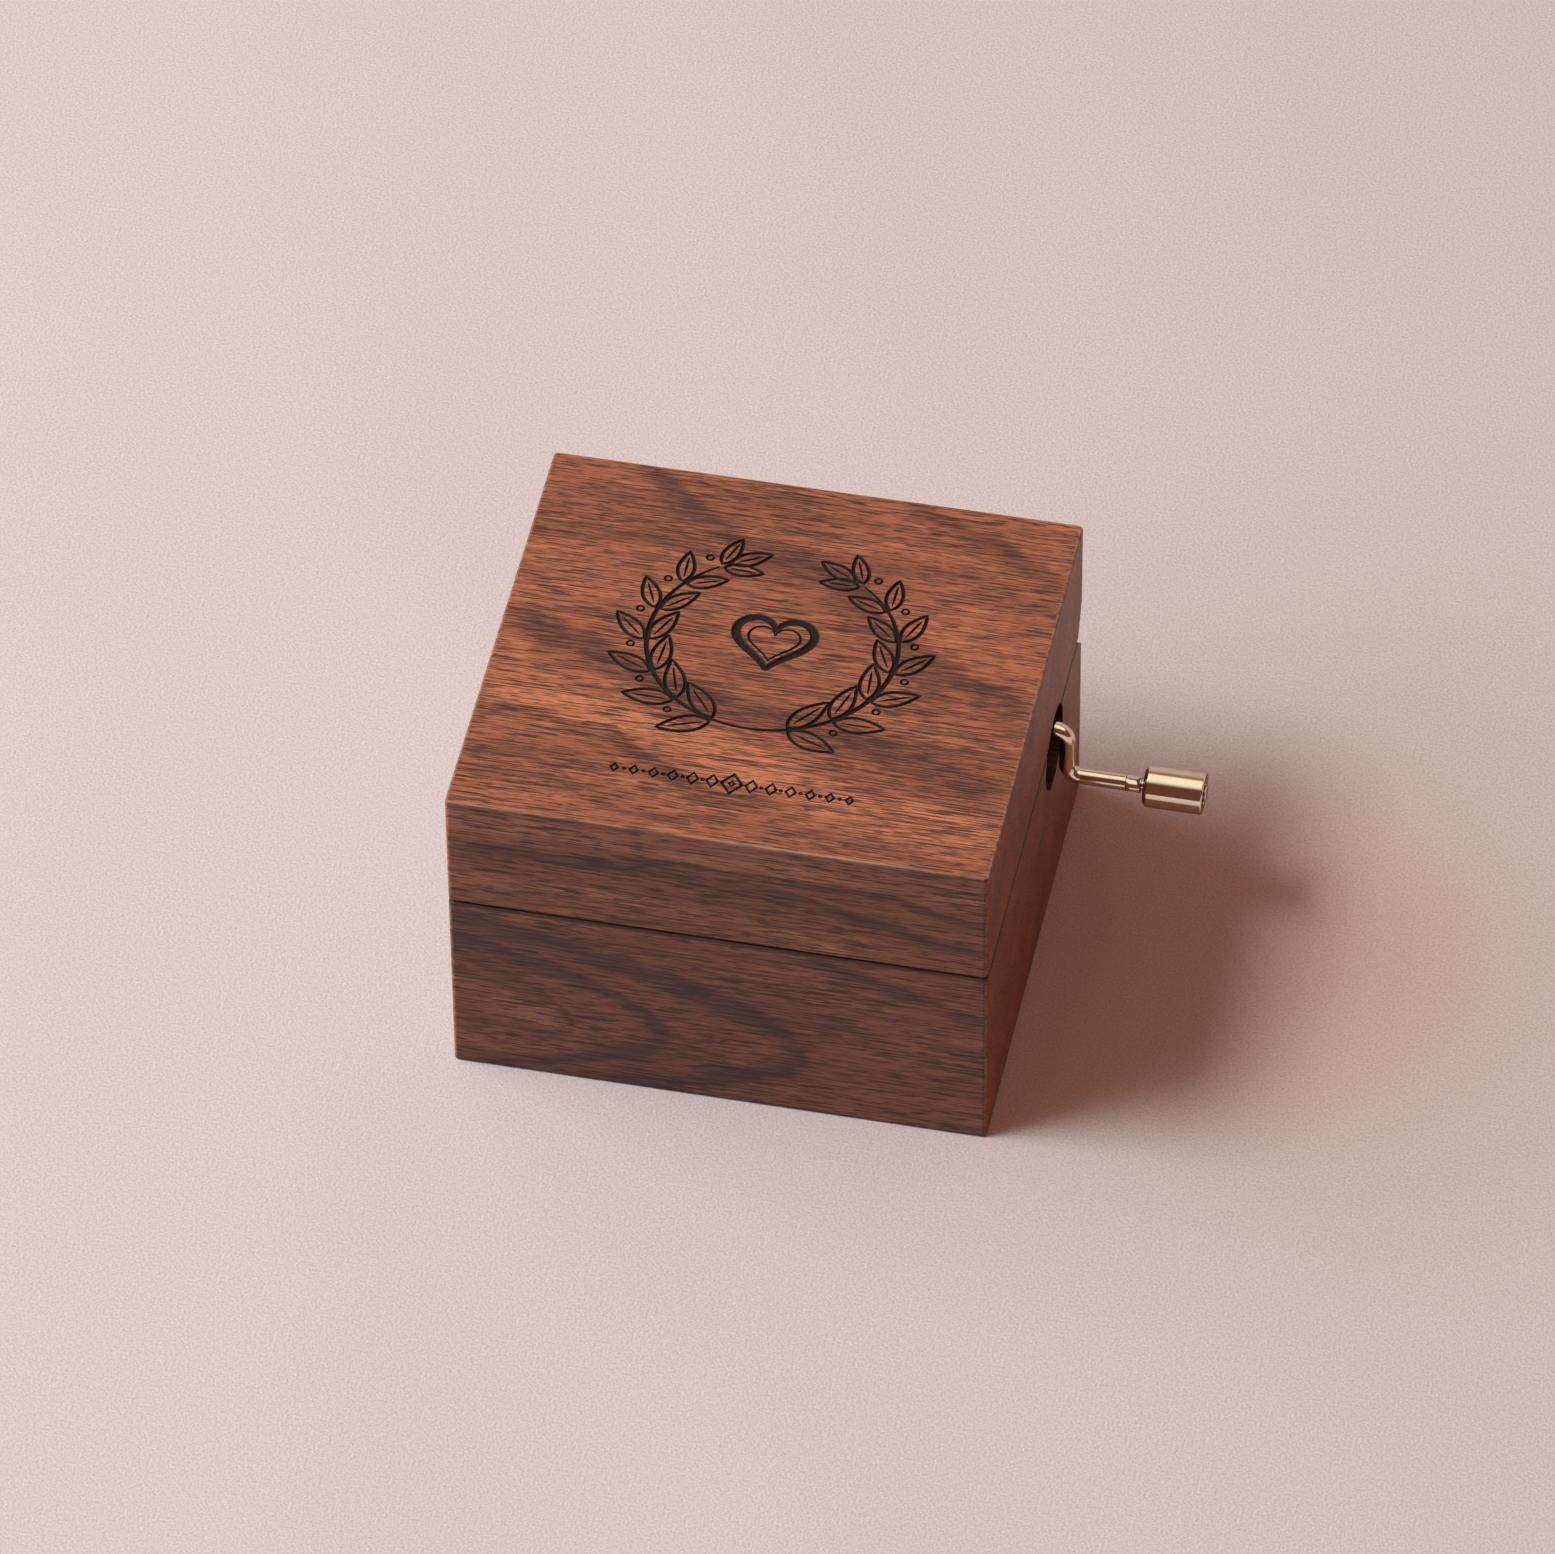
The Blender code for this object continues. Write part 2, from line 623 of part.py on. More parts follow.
def build_magnets(lid_pivot):
    for side, x in MAGNETS.items():
        base_ends = (x, MAGNET_Y, BASE_TOP - MAGNET_THICKNESS), (x, MAGNET_Y, BASE_TOP)
        lid_ends = (x, MAGNET_Y, LID_BOTTOM), (x, MAGNET_Y, LID_BOTTOM + MAGNET_THICKNESS)
        as_part(cylinder(f"magnet_base_{side}", MAGNET_RADIUS, *base_ends), "magnet_nickel")
        as_part(cylinder(f"magnet_lid_{side}", MAGNET_RADIUS, *lid_ends), "magnet_nickel", lid_pivot)


def screw(name, head_bottom, direction, head_radius, head_height, radius, length):
    """A cheese-head screw along Z. direction is 1 when its head points up."""
    x, y, z = head_bottom
    head_top = z + direction * head_height
    tip = z - direction * length
    head = cylinder(name, head_radius, (x, y, z), (x, y, head_top))
    shank = cylinder(
        f"{name}_shank", radius, (x, y, z + direction * head_height / 2), (x, y, tip), SMALL_STEPS
    )
    reach = head_radius + OVERCUT
    depth_low, depth_high = sorted((z + direction * head_height / 2, head_top + direction * OVERCUT))
    half_slot = DRIVER_SLOT_WIDTH / 2
    slot = box(f"{name}_slot", (x - half_slot, y - reach, depth_low), (x + half_slot, y + reach, depth_high))
    return as_part(cut(join(head, shank), slot), "steel")


def comb_screw_places():
    return {
        "front": (HEEL_CENTRE, COMB_MIDDLE - COMB_SCREW_SPACING / 2),
        "back": (HEEL_CENTRE, COMB_MIDDLE + COMB_SCREW_SPACING / 2),
    }


def bracket_screw_places():
    middle_y = (BRACKET_FRONT + BRACKET_BACK) / 2
    return {
        "left": (MOVEMENT_X - FOOT_CENTRE, middle_y),
        "right": (MOVEMENT_X + FOOT_CENTRE, middle_y),
    }


def build_screws():
    for side, (x, y) in comb_screw_places().items():
        place = (x, y, TOOTH_TOP + SEAT_GAP)
        screw(
            f"comb_screw_{side}",
            place,
            1,
            SMALL_HEAD_RADIUS,
            SMALL_HEAD_HEIGHT,
            SMALL_SCREW_RADIUS,
            COMB_SCREW_LENGTH,
        )
    for side, (x, y) in bracket_screw_places().items():
        place = (x, y, FOOT_TOP + SEAT_GAP)
        screw(
            f"bracket_screw_{side}",
            place,
            1,
            SMALL_HEAD_RADIUS,
            SMALL_HEAD_HEIGHT,
            SMALL_SCREW_RADIUS,
            BRACKET_SCREW_LENGTH,
        )
    for number, (x, y) in enumerate(movement_screw_places(), 1):
        place = (x, y, COUNTERBORE_DEPTH - SEAT_GAP)
        screw(
            f"movement_screw_{number}",
            place,
            -1,
            LONG_HEAD_RADIUS,
            LONG_HEAD_HEIGHT,
            LONG_SCREW_RADIUS,
            LONG_SCREW_LENGTH,
        )


def screw_hole(name, x, y, low, high, radius):
    return cylinder(name, radius + FIT_GAP, (x, y, low), (x, y, high), SMALL_STEPS)


def build_bed():
    bed = rounded_block(
        "movement_bed",
        (BED_LEFT, BED_FRONT, BED_BOTTOM),
        (BED_RIGHT, BED_BACK, BED_TOP),
        BED_CORNER_RADIUS,
    )
    comb_seat = box(
        "comb_seat",
        (COMB_BACK - BED_MARGIN, COMB_MIDDLE - COMB_HALF_WIDTH, BED_BOTTOM + BED_THICKNESS / 2),
        (HEEL_EDGE, COMB_MIDDLE + COMB_HALF_WIDTH, COMB_SEAT),
    )
    ear_foot = BED_BOTTOM + BED_THICKNESS / 2
    ear_outline = [
        (MOVEMENT_X - EAR_HALF_WIDTH, ear_foot),
        *reversed(arc((MOVEMENT_X, ARBOR_Z), EAR_HALF_WIDTH, 0, 180, BEND_STEPS)),
        (MOVEMENT_X + EAR_HALF_WIDTH, ear_foot),
    ]
    ear = extruded("front_ear", ear_outline, EAR_THICKNESS, (0, (EAR_FRONT + EAR_BACK) / 2, 0), "XZ")
    window = rounded_block(
        "bed_window",
        (MOVEMENT_X - WINDOW_HALF_WIDTH, EAR_BACK + BED_MARGIN, BED_BOTTOM - OVERCUT),
        (MOVEMENT_X + WINDOW_HALF_WIDTH, BRACKET_INNER_Y, BED_TOP + OVERCUT),
        BED_CORNER_RADIUS,
    )
    join(bed, comb_seat, ear)
    ear_middle = (MOVEMENT_X, (EAR_FRONT + EAR_BACK) / 2, ARBOR_Z)
    cut(bed, window, bush_hole("front_ear_hole", ear_middle, (0, 1, 0), ARBOR_RADIUS))
    screw_tip = TOOTH_TOP + SEAT_GAP - COMB_SCREW_LENGTH
    for side, (x, y) in comb_screw_places().items():
        low, high = screw_tip - SEAT_GAP, COMB_SEAT + OVERCUT
        cut(bed, screw_hole(f"seat_hole_{side}", x, y, low, high, SMALL_SCREW_RADIUS))
    for side, (x, y) in bracket_screw_places().items():
        low, high = BED_BOTTOM - OVERCUT, BED_TOP + OVERCUT
        cut(bed, screw_hole(f"bed_bracket_hole_{side}", x, y, low, high, SMALL_SCREW_RADIUS))
    for number, (x, y) in enumerate(movement_screw_places(), 1):
        tip = COUNTERBORE_DEPTH - SEAT_GAP + LONG_SCREW_LENGTH
        low, high = BED_BOTTOM - OVERCUT, max(tip, BED_TOP) + SEAT_GAP
        cut(bed, screw_hole(f"bed_hole_{number}", x, y, low, high, LONG_SCREW_RADIUS))
    as_part(bed, "cast_zinc")


def bush_radius(shaft_radius):
    return shaft_radius + RUN_CLEARANCE + BUSH_WALL


def bush_hole(name, place, direction, shaft_radius):
    """Seat of a bearing bush, cut longer than any wall here is thick."""
    reach = (EAR_THICKNESS + SHEET_THICKNESS) * Vector(direction)
    place = Vector(place)
    return cylinder(name, bush_radius(shaft_radius) + FIT_GAP, place - reach, place + reach)


def build_bracket():
    """One bent sheet: a back wall, two cheeks bent forward and a foot bent out from each cheek."""
    outer, inner = SHEET_BEND_RADIUS + SHEET_THICKNESS, SHEET_BEND_RADIUS
    left_out, right_out = MOVEMENT_X - CHEEK_OUTER, MOVEMENT_X + CHEEK_OUTER
    left_in, right_in = MOVEMENT_X - CHEEK_INNER, MOVEMENT_X + CHEEK_INNER
    bend_y = BRACKET_BACK - outer
    outline = [
        (left_out, BRACKET_FRONT),
        *arc((left_out + outer, bend_y), outer, 180, 90, SHEET_BEND_STEPS),
        *arc((right_out - outer, bend_y), outer, 90, 0, SHEET_BEND_STEPS),
        (right_out, BRACKET_FRONT),
        (right_in, BRACKET_FRONT),
        *arc((right_in - inner, bend_y), inner, 0, 90, SHEET_BEND_STEPS),
        *arc((left_in + inner, bend_y), inner, 90, 180, SHEET_BEND_STEPS),
        (left_in, BRACKET_FRONT),
    ]
    height = BRACKET_TOP - FOOT_BOTTOM
    middle = (BRACKET_TOP + FOOT_BOTTOM) / 2
    bracket = extruded("worm_bracket", outline, height, (0, 0, middle), "XY")
    for side, direction in (("left", -1), ("right", 1)):
        ends = sorted(
            (
                MOVEMENT_X + direction * (CHEEK_OUTER - SHEET_THICKNESS / 2),
                MOVEMENT_X + direction * (CHEEK_OUTER + FOOT_WIDTH),
            )
        )
        foot = box(
            f"{side}_foot",
            (ends[0], BRACKET_FRONT + SHEET_THICKNESS / 4, FOOT_BOTTOM),
            (ends[1], bend_y, FOOT_TOP),
        )
        join(bracket, foot)
    for side, direction in (("left", -1), ("right", 1)):
        cheek_x = MOVEMENT_X + direction * (CHEEK_INNER + CHEEK_OUTER) / 2
        place = (cheek_x, SHAFT_Y, SHAFT_Z)
        cut(bracket, bush_hole(f"{side}_cheek_hole", place, (1, 0, 0), WIRE_RADIUS))
    back_y = (BRACKET_INNER_Y + BRACKET_BACK) / 2
    back_middle = (MOVEMENT_X, back_y, ARBOR_Z)
    cut(bracket, bush_hole("back_wall_hole", back_middle, (0, 1, 0), ARBOR_RADIUS))
    for side, (x, y) in bracket_screw_places().items():
        low, high = FOOT_BOTTOM - OVERCUT, FOOT_TOP + OVERCUT
        cut(bracket, screw_hole(f"foot_hole_{side}", x, y, low, high, SMALL_SCREW_RADIUS))
    as_part(bracket, "sheet_steel")


def bush(name, shaft_radius, wall_face, wall_thickness, axis, outward):
    """A flanged bearing bush. wall_face is where its flange sits, and outward the flange's side."""
    bore = shaft_radius + RUN_CLEARANCE
    barrel = bush_radius(shaft_radius)
    flange_near, flange_far = FIT_GAP, FIT_GAP + BUSH_FLANGE_THICKNESS
    points = [
        (bore, flange_far),
        (BUSH_FLANGE_RADIUS, flange_far),
        (BUSH_FLANGE_RADIUS, flange_near),
        (barrel, flange_near),
        (barrel, -wall_thickness),
        (bore, -wall_thickness),
    ]
    if outward < 0:
        points = [(radius, -height) for radius, height in reversed(points)]
    return as_part(turned(name, points, wall_face, axis, bored=True), "bronze")


def build_bushes():
    for side, outward in (("left", -1), ("right", 1)):
        face = (MOVEMENT_X + outward * CHEEK_OUTER, SHAFT_Y, SHAFT_Z)
        bush(f"shaft_bush_{side}", WIRE_RADIUS, face, SHEET_THICKNESS, "X", outward)
    front_face = (MOVEMENT_X, EAR_FRONT, ARBOR_Z)
    bush("arbor_bush_front", ARBOR_RADIUS, front_face, EAR_THICKNESS, "Y", -1)
    back_face = (MOVEMENT_X, BRACKET_BACK, ARBOR_Z)
    bush("arbor_bush_back", ARBOR_RADIUS, back_face, SHEET_THICKNESS, "Y", 1)


def build_comb():
    """A steel plate with a thick heel, slotted into teeth that get longer towards the front."""
    outline = [
        (COMB_BACK, HEEL_BOTTOM),
        (HEEL_EDGE, HEEL_BOTTOM),
        (HEEL_EDGE, TOOTH_TOP - TOOTH_THICKNESS),
        (COMB_TIP, TOOTH_TOP - TOOTH_THICKNESS),
        (COMB_TIP, TOOTH_TOP),
        (COMB_BACK, TOOTH_TOP),
    ]
    comb = extruded("comb", outline, 2 * COMB_HALF_WIDTH, (0, COMB_MIDDLE, 0), "XZ")
    longest = COMB_TIP - HEEL_EDGE
    slots = []
    for number in range(1, TOOTH_COUNT):
        share = 1 - number / TOOTH_COUNT
        root = COMB_TIP - SHORTEST_TOOTH - (longest - SHORTEST_TOOTH) * share
        y = COMB_MIDDLE - COMB_HALF_WIDTH + number * TOOTH_PITCH
        slots.append(
            (
                (root, y - SLOT_WIDTH / 2, HEEL_BOTTOM - OVERCUT),
                (COMB_TIP + OVERCUT, y + SLOT_WIDTH / 2, TOOTH_TOP + OVERCUT),
            )
        )
    cut(comb, boxes("comb_slots", slots))
    for side, (x, y) in comb_screw_places().items():
        low, high = HEEL_BOTTOM - OVERCUT, TOOTH_TOP + OVERCUT
        cut(comb, screw_hole(f"comb_hole_{side}", x, y, low, high, SMALL_SCREW_RADIUS))
    as_part(comb, "comb_steel")


def scale_track(step):
    """Which tooth a step plays: a plain scale that runs up and down the comb."""
    place = step % (2 * (TOOTH_COUNT - 1))
    return min(place, 2 * (TOOTH_COUNT - 1) - place)


def drum_pins():
    """Square pins in the drum's skin, one for each step of the scale."""
    bm = bmesh.new()
    foot = DRUM_RADIUS - DRUM_WALL / 2
    for step in range(PIN_STEPS):
        y = COMB_MIDDLE - COMB_HALF_WIDTH + (scale_track(step) + 0.5) * TOOTH_PITCH
        turn = Matrix.Rotation(2 * math.pi * (step + 0.5) / PIN_STEPS, 4, "Y")
        place = (
            Matrix.Translation((MOVEMENT_X, y, ARBOR_Z))
            @ turn
            @ Matrix.Translation((0, 0, (foot + PIN_TIP_RADIUS) / 2))
            @ Matrix.Diagonal((PIN_WIDTH, PIN_WIDTH, PIN_TIP_RADIUS - foot, 1.0))
        )
        bmesh.ops.create_cube(bm, size=1.0, matrix=place)
    return object_from(bm, "drum_pins")


def build_wheel(pivot):
    """A worm wheel: straight-sided teeth, twisted across its width to the worm's lead angle."""
    tooth_half = math.pi * MODULE / 4 - BACKLASH / 2
    flare = math.tan(PRESSURE_ANGLE)
    bm = bmesh.new()
    corners = []
    for tooth in range(WHEEL_TEETH):
        middle = 2 * math.pi * (tooth + 0.5) / WHEEL_TEETH
        for radius, side in (
            (WHEEL_ROOT_RADIUS, -1),
            (WHEEL_TIP_RADIUS, -1),
            (WHEEL_TIP_RADIUS, 1),
            (WHEEL_ROOT_RADIUS, 1),
        ):
            half = tooth_half - (radius - PITCH_RADIUS) * flare
            angle = middle + side * half / radius
            corners.append((radius * math.sin(angle), 0.0, radius * math.cos(angle)))
    twist = WHEEL_WIDTH * LEAD / (2 * math.pi * WORM_PITCH_RADIUS * PITCH_RADIUS)
    face = bm.faces.new([bm.verts.new(corner) for corner in corners])
    made = bmesh.ops.extrude_face_region(bm, geom=[face])["geom"]
    moved = [item for item in made if isinstance(item, bmesh.types.BMVert)]
    bmesh.ops.rotate(bm, verts=list(face.verts), matrix=Matrix.Rotation(-twist / 2, 3, "Y"))
    bmesh.ops.rotate(bm, verts=moved, matrix=Matrix.Rotation(twist / 2, 3, "Y"))
    bmesh.ops.translate(bm, verts=list(face.verts), vec=(0, -WHEEL_WIDTH / 2, 0))
    bmesh.ops.translate(bm, verts=moved, vec=(0, WHEEL_WIDTH / 2, 0))
    wheel = object_from(bm, "cylinder_wheel")
    wheel.location = (MOVEMENT_X, SHAFT_Y, ARBOR_Z)
    hub = cylinder(
        "wheel_hub",
        WHEEL_HUB_RADIUS,
        (MOVEMENT_X, DRUM_BACK + SEAT_GAP, ARBOR_Z),
        (MOVEMENT_X, BRACKET_INNER_Y - SEAT_GAP, ARBOR_Z),
    )
    bore = cylinder(
        "wheel_bore",
        ARBOR_RADIUS + FIT_GAP,
        (MOVEMENT_X, DRUM_FRONT, ARBOR_Z),
        (MOVEMENT_X, BED_BACK, ARBOR_Z),
    )
    as_part(cut(join(wheel, hub), bore), "brass", pivot)


def build_cylinder(pivot):
    inner = DRUM_RADIUS - DRUM_WALL
    half = DRUM_LENGTH / 2
    profile = [(inner, half), (DRUM_RADIUS, half), (DRUM_RADIUS, -half), (inner, -half)]
    drum = turned("cylinder", profile, (MOVEMENT_X, COMB_MIDDLE, ARBOR_Z), "Y", DRUM_STEPS, bored=True)
    as_part(join(drum, drum_pins()), "brass", pivot)
    bore = ARBOR_RADIUS + FIT_GAP
    rim = inner - FIT_GAP
    half_cap = CAP_THICKNESS / 2
    cap_profile = [(bore, half_cap), (rim, half_cap), (rim, -half_cap), (bore, -half_cap)]
    for side, y in (
        ("front", DRUM_FRONT + SEAT_GAP + half_cap),
        ("back", DRUM_BACK - SEAT_GAP - half_cap),
    ):
        cap = turned(f"cylinder_cap_{side}", cap_profile, (MOVEMENT_X, y, ARBOR_Z), "Y", bored=True)
        as_part(cap, "brass", pivot)
    end_reach = FIT_GAP + BUSH_FLANGE_THICKNESS + SEAT_GAP
    arbor = cylinder(
        "cylinder_arbor",
        ARBOR_RADIUS,
        (MOVEMENT_X, EAR_FRONT - end_reach, ARBOR_Z),
        (MOVEMENT_X, BRACKET_BACK + end_reach, ARBOR_Z),
    )
    as_part(arbor, "steel", pivot)
    build_wheel(pivot)


def worm_thread():
    """The thread's section, swept along a right-handed helix and closed at both ends."""
    half_pitch_width = math.pi * MODULE / 4 - BACKLASH / 2
    flare = math.tan(PRESSURE_ANGLE)
    foot = WORM_ROOT_RADIUS - FIT_GAP
    foot_half = half_pitch_width + (WORM_PITCH_RADIUS - foot) * flare
    tip_half = half_pitch_width - (WORM_TIP_RADIUS - WORM_PITCH_RADIUS) * flare
    start = -WORM_TURNS * LEAD / 2
    section = [
        (foot, start + foot_half),
        (WORM_TIP_RADIUS, start + tip_half),
        (WORM_TIP_RADIUS, start - tip_half),
        (foot, start - foot_half),
    ]
    mesh = bpy.data.meshes.new("worm_thread")
    edges = [(0, 1), (1, 2), (2, 3), (3, 0)]
    mesh.from_pydata([(radius, 0.0, height) for radius, height in section], edges, [])
    thread = bpy.data.objects.new("worm_thread", mesh)
    CUTTERS.objects.link(thread)
    thread.matrix_world = Matrix.Translation((MOVEMENT_X, SHAFT_Y, SHAFT_Z)) @ AXIS_TURNS["X"]
    helix = thread.modifiers.new("Helix", "SCREW")
    helix.screw_offset = LEAD
    helix.iterations = WORM_TURNS
    helix.steps = helix.render_steps = ROUND_STEPS
    return realised(thread)


def build_worm(pivot):
    bore = WIRE_RADIUS + FIT_GAP
    profile = [
        (bore, WORM_HALF_LENGTH),
        (WORM_ROOT_RADIUS, WORM_HALF_LENGTH),
        (WORM_ROOT_RADIUS, -WORM_HALF_LENGTH),
        (bore, -WORM_HALF_LENGTH),
    ]
    worm = turned("worm", profile, (MOVEMENT_X, SHAFT_Y, SHAFT_Z), "X", WORM_CORE_STEPS, bored=True)
    as_part(join(worm, worm_thread()), "brass", pivot)


def crank_route():
    """The crank's wire as (x, z, radius) points: shaft, bend, arm, bend, handle, pinch, knob pin."""
    start = MOVEMENT_X - CHEEK_OUTER - FIT_GAP - BUSH_FLANGE_THICKNESS - SIDE_PLAY - 2 * CLIP_THICKNESS
    shaft_bend = arc(
        (ARM_X - SHAFT_BEND_RADIUS, SHAFT_Z - SHAFT_BEND_RADIUS), SHAFT_BEND_RADIUS, 90, 0, BEND_STEPS
    )
    handle_bend = arc(
        (ARM_X + HANDLE_BEND_RADIUS, HANDLE_Z + HANDLE_BEND_RADIUS), HANDLE_BEND_RADIUS, 180, 270, BEND_STEPS
    )
    taper = WIRE_RADIUS / 5
    route = [(start, SHAFT_Z, WIRE_RADIUS)]
    route += [(x, z, WIRE_RADIUS) for x, z in shaft_bend + handle_bend]
    head_start = KNOB_END - KNOB_RECESS_DEPTH + SIDE_PLAY
    head_end = head_start + PIN_HEAD_LENGTH
    for x, radius in (
        (PINCH_START, WIRE_RADIUS),
        (PINCH_START + taper / 2, PINCH_RADIUS),
        (PINCH_END - taper / 4, PINCH_RADIUS),
        (PINCH_END, KNOB_PIN_RADIUS),
        (head_start - taper / 4, KNOB_PIN_RADIUS),
        (head_start, PIN_HEAD_RADIUS),
        (head_end - taper, PIN_HEAD_RADIUS),
        (head_end, PIN_HEAD_RADIUS * 0.7),
    ):
        route.append((x, HANDLE_Z, radius))
    return route


def build_crank(pivot, knob_pivot):
    route = crank_route()
    curve = bpy.data.curves.new("crank", "CURVE")
    curve.dimensions = "3D"
    curve.bevel_depth = WIRE_RADIUS
    curve.bevel_resolution = WIRE_RESOLUTION
    curve.use_fill_caps = True
    spline = curve.splines.new("POLY")
    spline.points.add(len(route) - 1)
    for point, (x, z, radius) in zip(spline.points, route):
        point.co = (x, SHAFT_Y, z, 1.0)
        point.radius = radius / WIRE_RADIUS
    crank = bpy.data.objects.new("crank", curve)
    CUTTERS.objects.link(crank)
    as_part(realised(crank), "plated_wire", pivot)

    bore = KNOB_PIN_RADIUS + RUN_CLEARANCE
    half = KNOB_LENGTH / 2
    knob_profile = [
        (bore, half - KNOB_RECESS_DEPTH),
        (KNOB_RECESS_RADIUS, half - KNOB_RECESS_DEPTH),
        (KNOB_RECESS_RADIUS, half),
        (KNOB_RADIUS - KNOB_OUTER_CHAMFER, half),
        (KNOB_RADIUS, half - KNOB_OUTER_CHAMFER),
        (KNOB_RADIUS, KNOB_INNER_CHAMFER - half),
        (KNOB_RADIUS - KNOB_INNER_CHAMFER, -half),
        (bore, -half),
    ]
    knob_place = ((KNOB_START + KNOB_END) / 2, SHAFT_Y, HANDLE_Z)
    knob = turned("crank_knob", knob_profile, knob_place, "X", KNOB_STEPS, bored=True)
    as_part(knob, "plated_wire", knob_pivot)


def shaft_ring(name, start, end, radius, material, pivot):
    """A plain ring on the crank's shaft, between two places along X."""
    bore = WIRE_RADIUS + FIT_GAP
    half = (end - start) / 2
    profile = [(bore, half), (radius, half), (radius, -half), (bore, -half)]
    ring = turned(name, profile, ((start + end) / 2, SHAFT_Y, SHAFT_Z), "X", bored=True)
    as_part(ring, material, pivot)


def build_shaft_rings(pivot):
    flange = CHEEK_OUTER + FIT_GAP + BUSH_FLANGE_THICKNESS
    clip_end = MOVEMENT_X - flange - SIDE_PLAY
    shaft_ring("shaft_clip", clip_end - CLIP_THICKNESS, clip_end, CLIP_RADIUS, "steel", pivot)
    collar_start = MOVEMENT_X + flange + SIDE_PLAY
    shaft_ring("shaft_collar", collar_start, collar_start + COLLAR_LENGTH, COLLAR_RADIUS, "brass", pivot)


def build_all():
    lid_pivot = make_pivot("lid_hinge_axis", (0, HINGE_Y, HINGE_Z))
    cylinder_pivot = make_pivot("cylinder_axis", (MOVEMENT_X, COMB_MIDDLE, ARBOR_Z))
    crank_pivot = make_pivot("crank_axis", (RIGHT_FACE, SHAFT_Y, SHAFT_Z))
    knob_pivot = make_pivot("knob_axis", (KNOB_START, SHAFT_Y, HANDLE_Z))
    knob_pivot.parent = crank_pivot
    knob_pivot.matrix_parent_inverse = crank_pivot.matrix_world.inverted()
    bpy.context.view_layer.update()
    build_base()
    build_lid(lid_pivot)
    for side, x in HINGES.items():
        build_hinge(side, x, lid_pivot)
    build_magnets(lid_pivot)
    build_bed()
    build_bracket()
    build_bushes()
    build_comb()
    build_screws()
    build_cylinder(cylinder_pivot)
    build_worm(crank_pivot)
    build_shaft_rings(crank_pivot)
    build_crank(crank_pivot, knob_pivot)


clear_scene()
PARTS = add_collection("music_box")
CUTTERS = add_collection("cutters")
SHADERS = make_materials()
build_all()
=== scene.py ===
"""Looks of the hand-cranked music box: oiled walnut with a burnt-in ornament on its lid, a
plated wire crank, and a comb-and-cylinder movement of brass and steel inside.

X runs to the right, Y to the back and Z up, in metres, as in the frame that it dresses.
"""

import json
import math

import bmesh
import bpy
from mathutils import Matrix, Vector


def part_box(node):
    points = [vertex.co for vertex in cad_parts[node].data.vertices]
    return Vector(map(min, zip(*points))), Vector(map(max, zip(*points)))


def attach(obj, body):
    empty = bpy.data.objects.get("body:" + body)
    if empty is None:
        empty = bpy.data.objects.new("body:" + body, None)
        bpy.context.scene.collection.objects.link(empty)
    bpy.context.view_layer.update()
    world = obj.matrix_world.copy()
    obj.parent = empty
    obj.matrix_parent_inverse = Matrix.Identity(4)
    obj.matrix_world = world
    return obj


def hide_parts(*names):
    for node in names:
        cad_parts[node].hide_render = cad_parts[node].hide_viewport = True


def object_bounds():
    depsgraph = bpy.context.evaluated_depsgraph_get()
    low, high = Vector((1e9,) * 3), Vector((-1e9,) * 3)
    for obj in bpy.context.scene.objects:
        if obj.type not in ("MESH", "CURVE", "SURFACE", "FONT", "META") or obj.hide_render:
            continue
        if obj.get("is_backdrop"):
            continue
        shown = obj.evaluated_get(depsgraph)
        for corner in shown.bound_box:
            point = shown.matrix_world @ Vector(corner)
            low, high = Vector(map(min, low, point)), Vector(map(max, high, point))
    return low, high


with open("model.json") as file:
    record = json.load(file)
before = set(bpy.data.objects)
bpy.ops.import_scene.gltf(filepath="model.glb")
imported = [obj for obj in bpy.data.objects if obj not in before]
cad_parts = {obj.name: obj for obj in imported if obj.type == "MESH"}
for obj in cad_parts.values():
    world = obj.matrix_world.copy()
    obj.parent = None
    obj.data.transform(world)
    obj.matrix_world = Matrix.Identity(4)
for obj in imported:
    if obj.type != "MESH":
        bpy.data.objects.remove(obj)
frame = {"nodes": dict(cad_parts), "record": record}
CAD_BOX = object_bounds()
NODES = frame["nodes"]
RECORD = frame["record"]
BODY_OF = {node: body for body, nodes in RECORD["behaviour"]["bodies"].items() for node in nodes}
SLOT_OF = {part["node"]: part["material_slot"] for part in RECORD["subparts"]}

MM = 0.001
WELD = MM / 10000
FLAT_ANGLE = math.radians(0.5)
SHARP_ANGLE = math.radians(32)

# The photo's frame and the camera that the box's outlines give
PHOTO_WIDTH = 1555
SENSOR_WIDTH = 36.0
FOCAL_PIXELS = 11614.73
VIEW_AZIMUTH = -12.1445
VIEW_ELEVATION = 45.8878
VIEW_ROLL = -0.5842
VIEW_DISTANCE = 1397.11 * MM
VIEW_TARGET = Vector((0.033, 4.839, 20.0)) * MM
CLIP_RANGE = (0.01, 20.0)

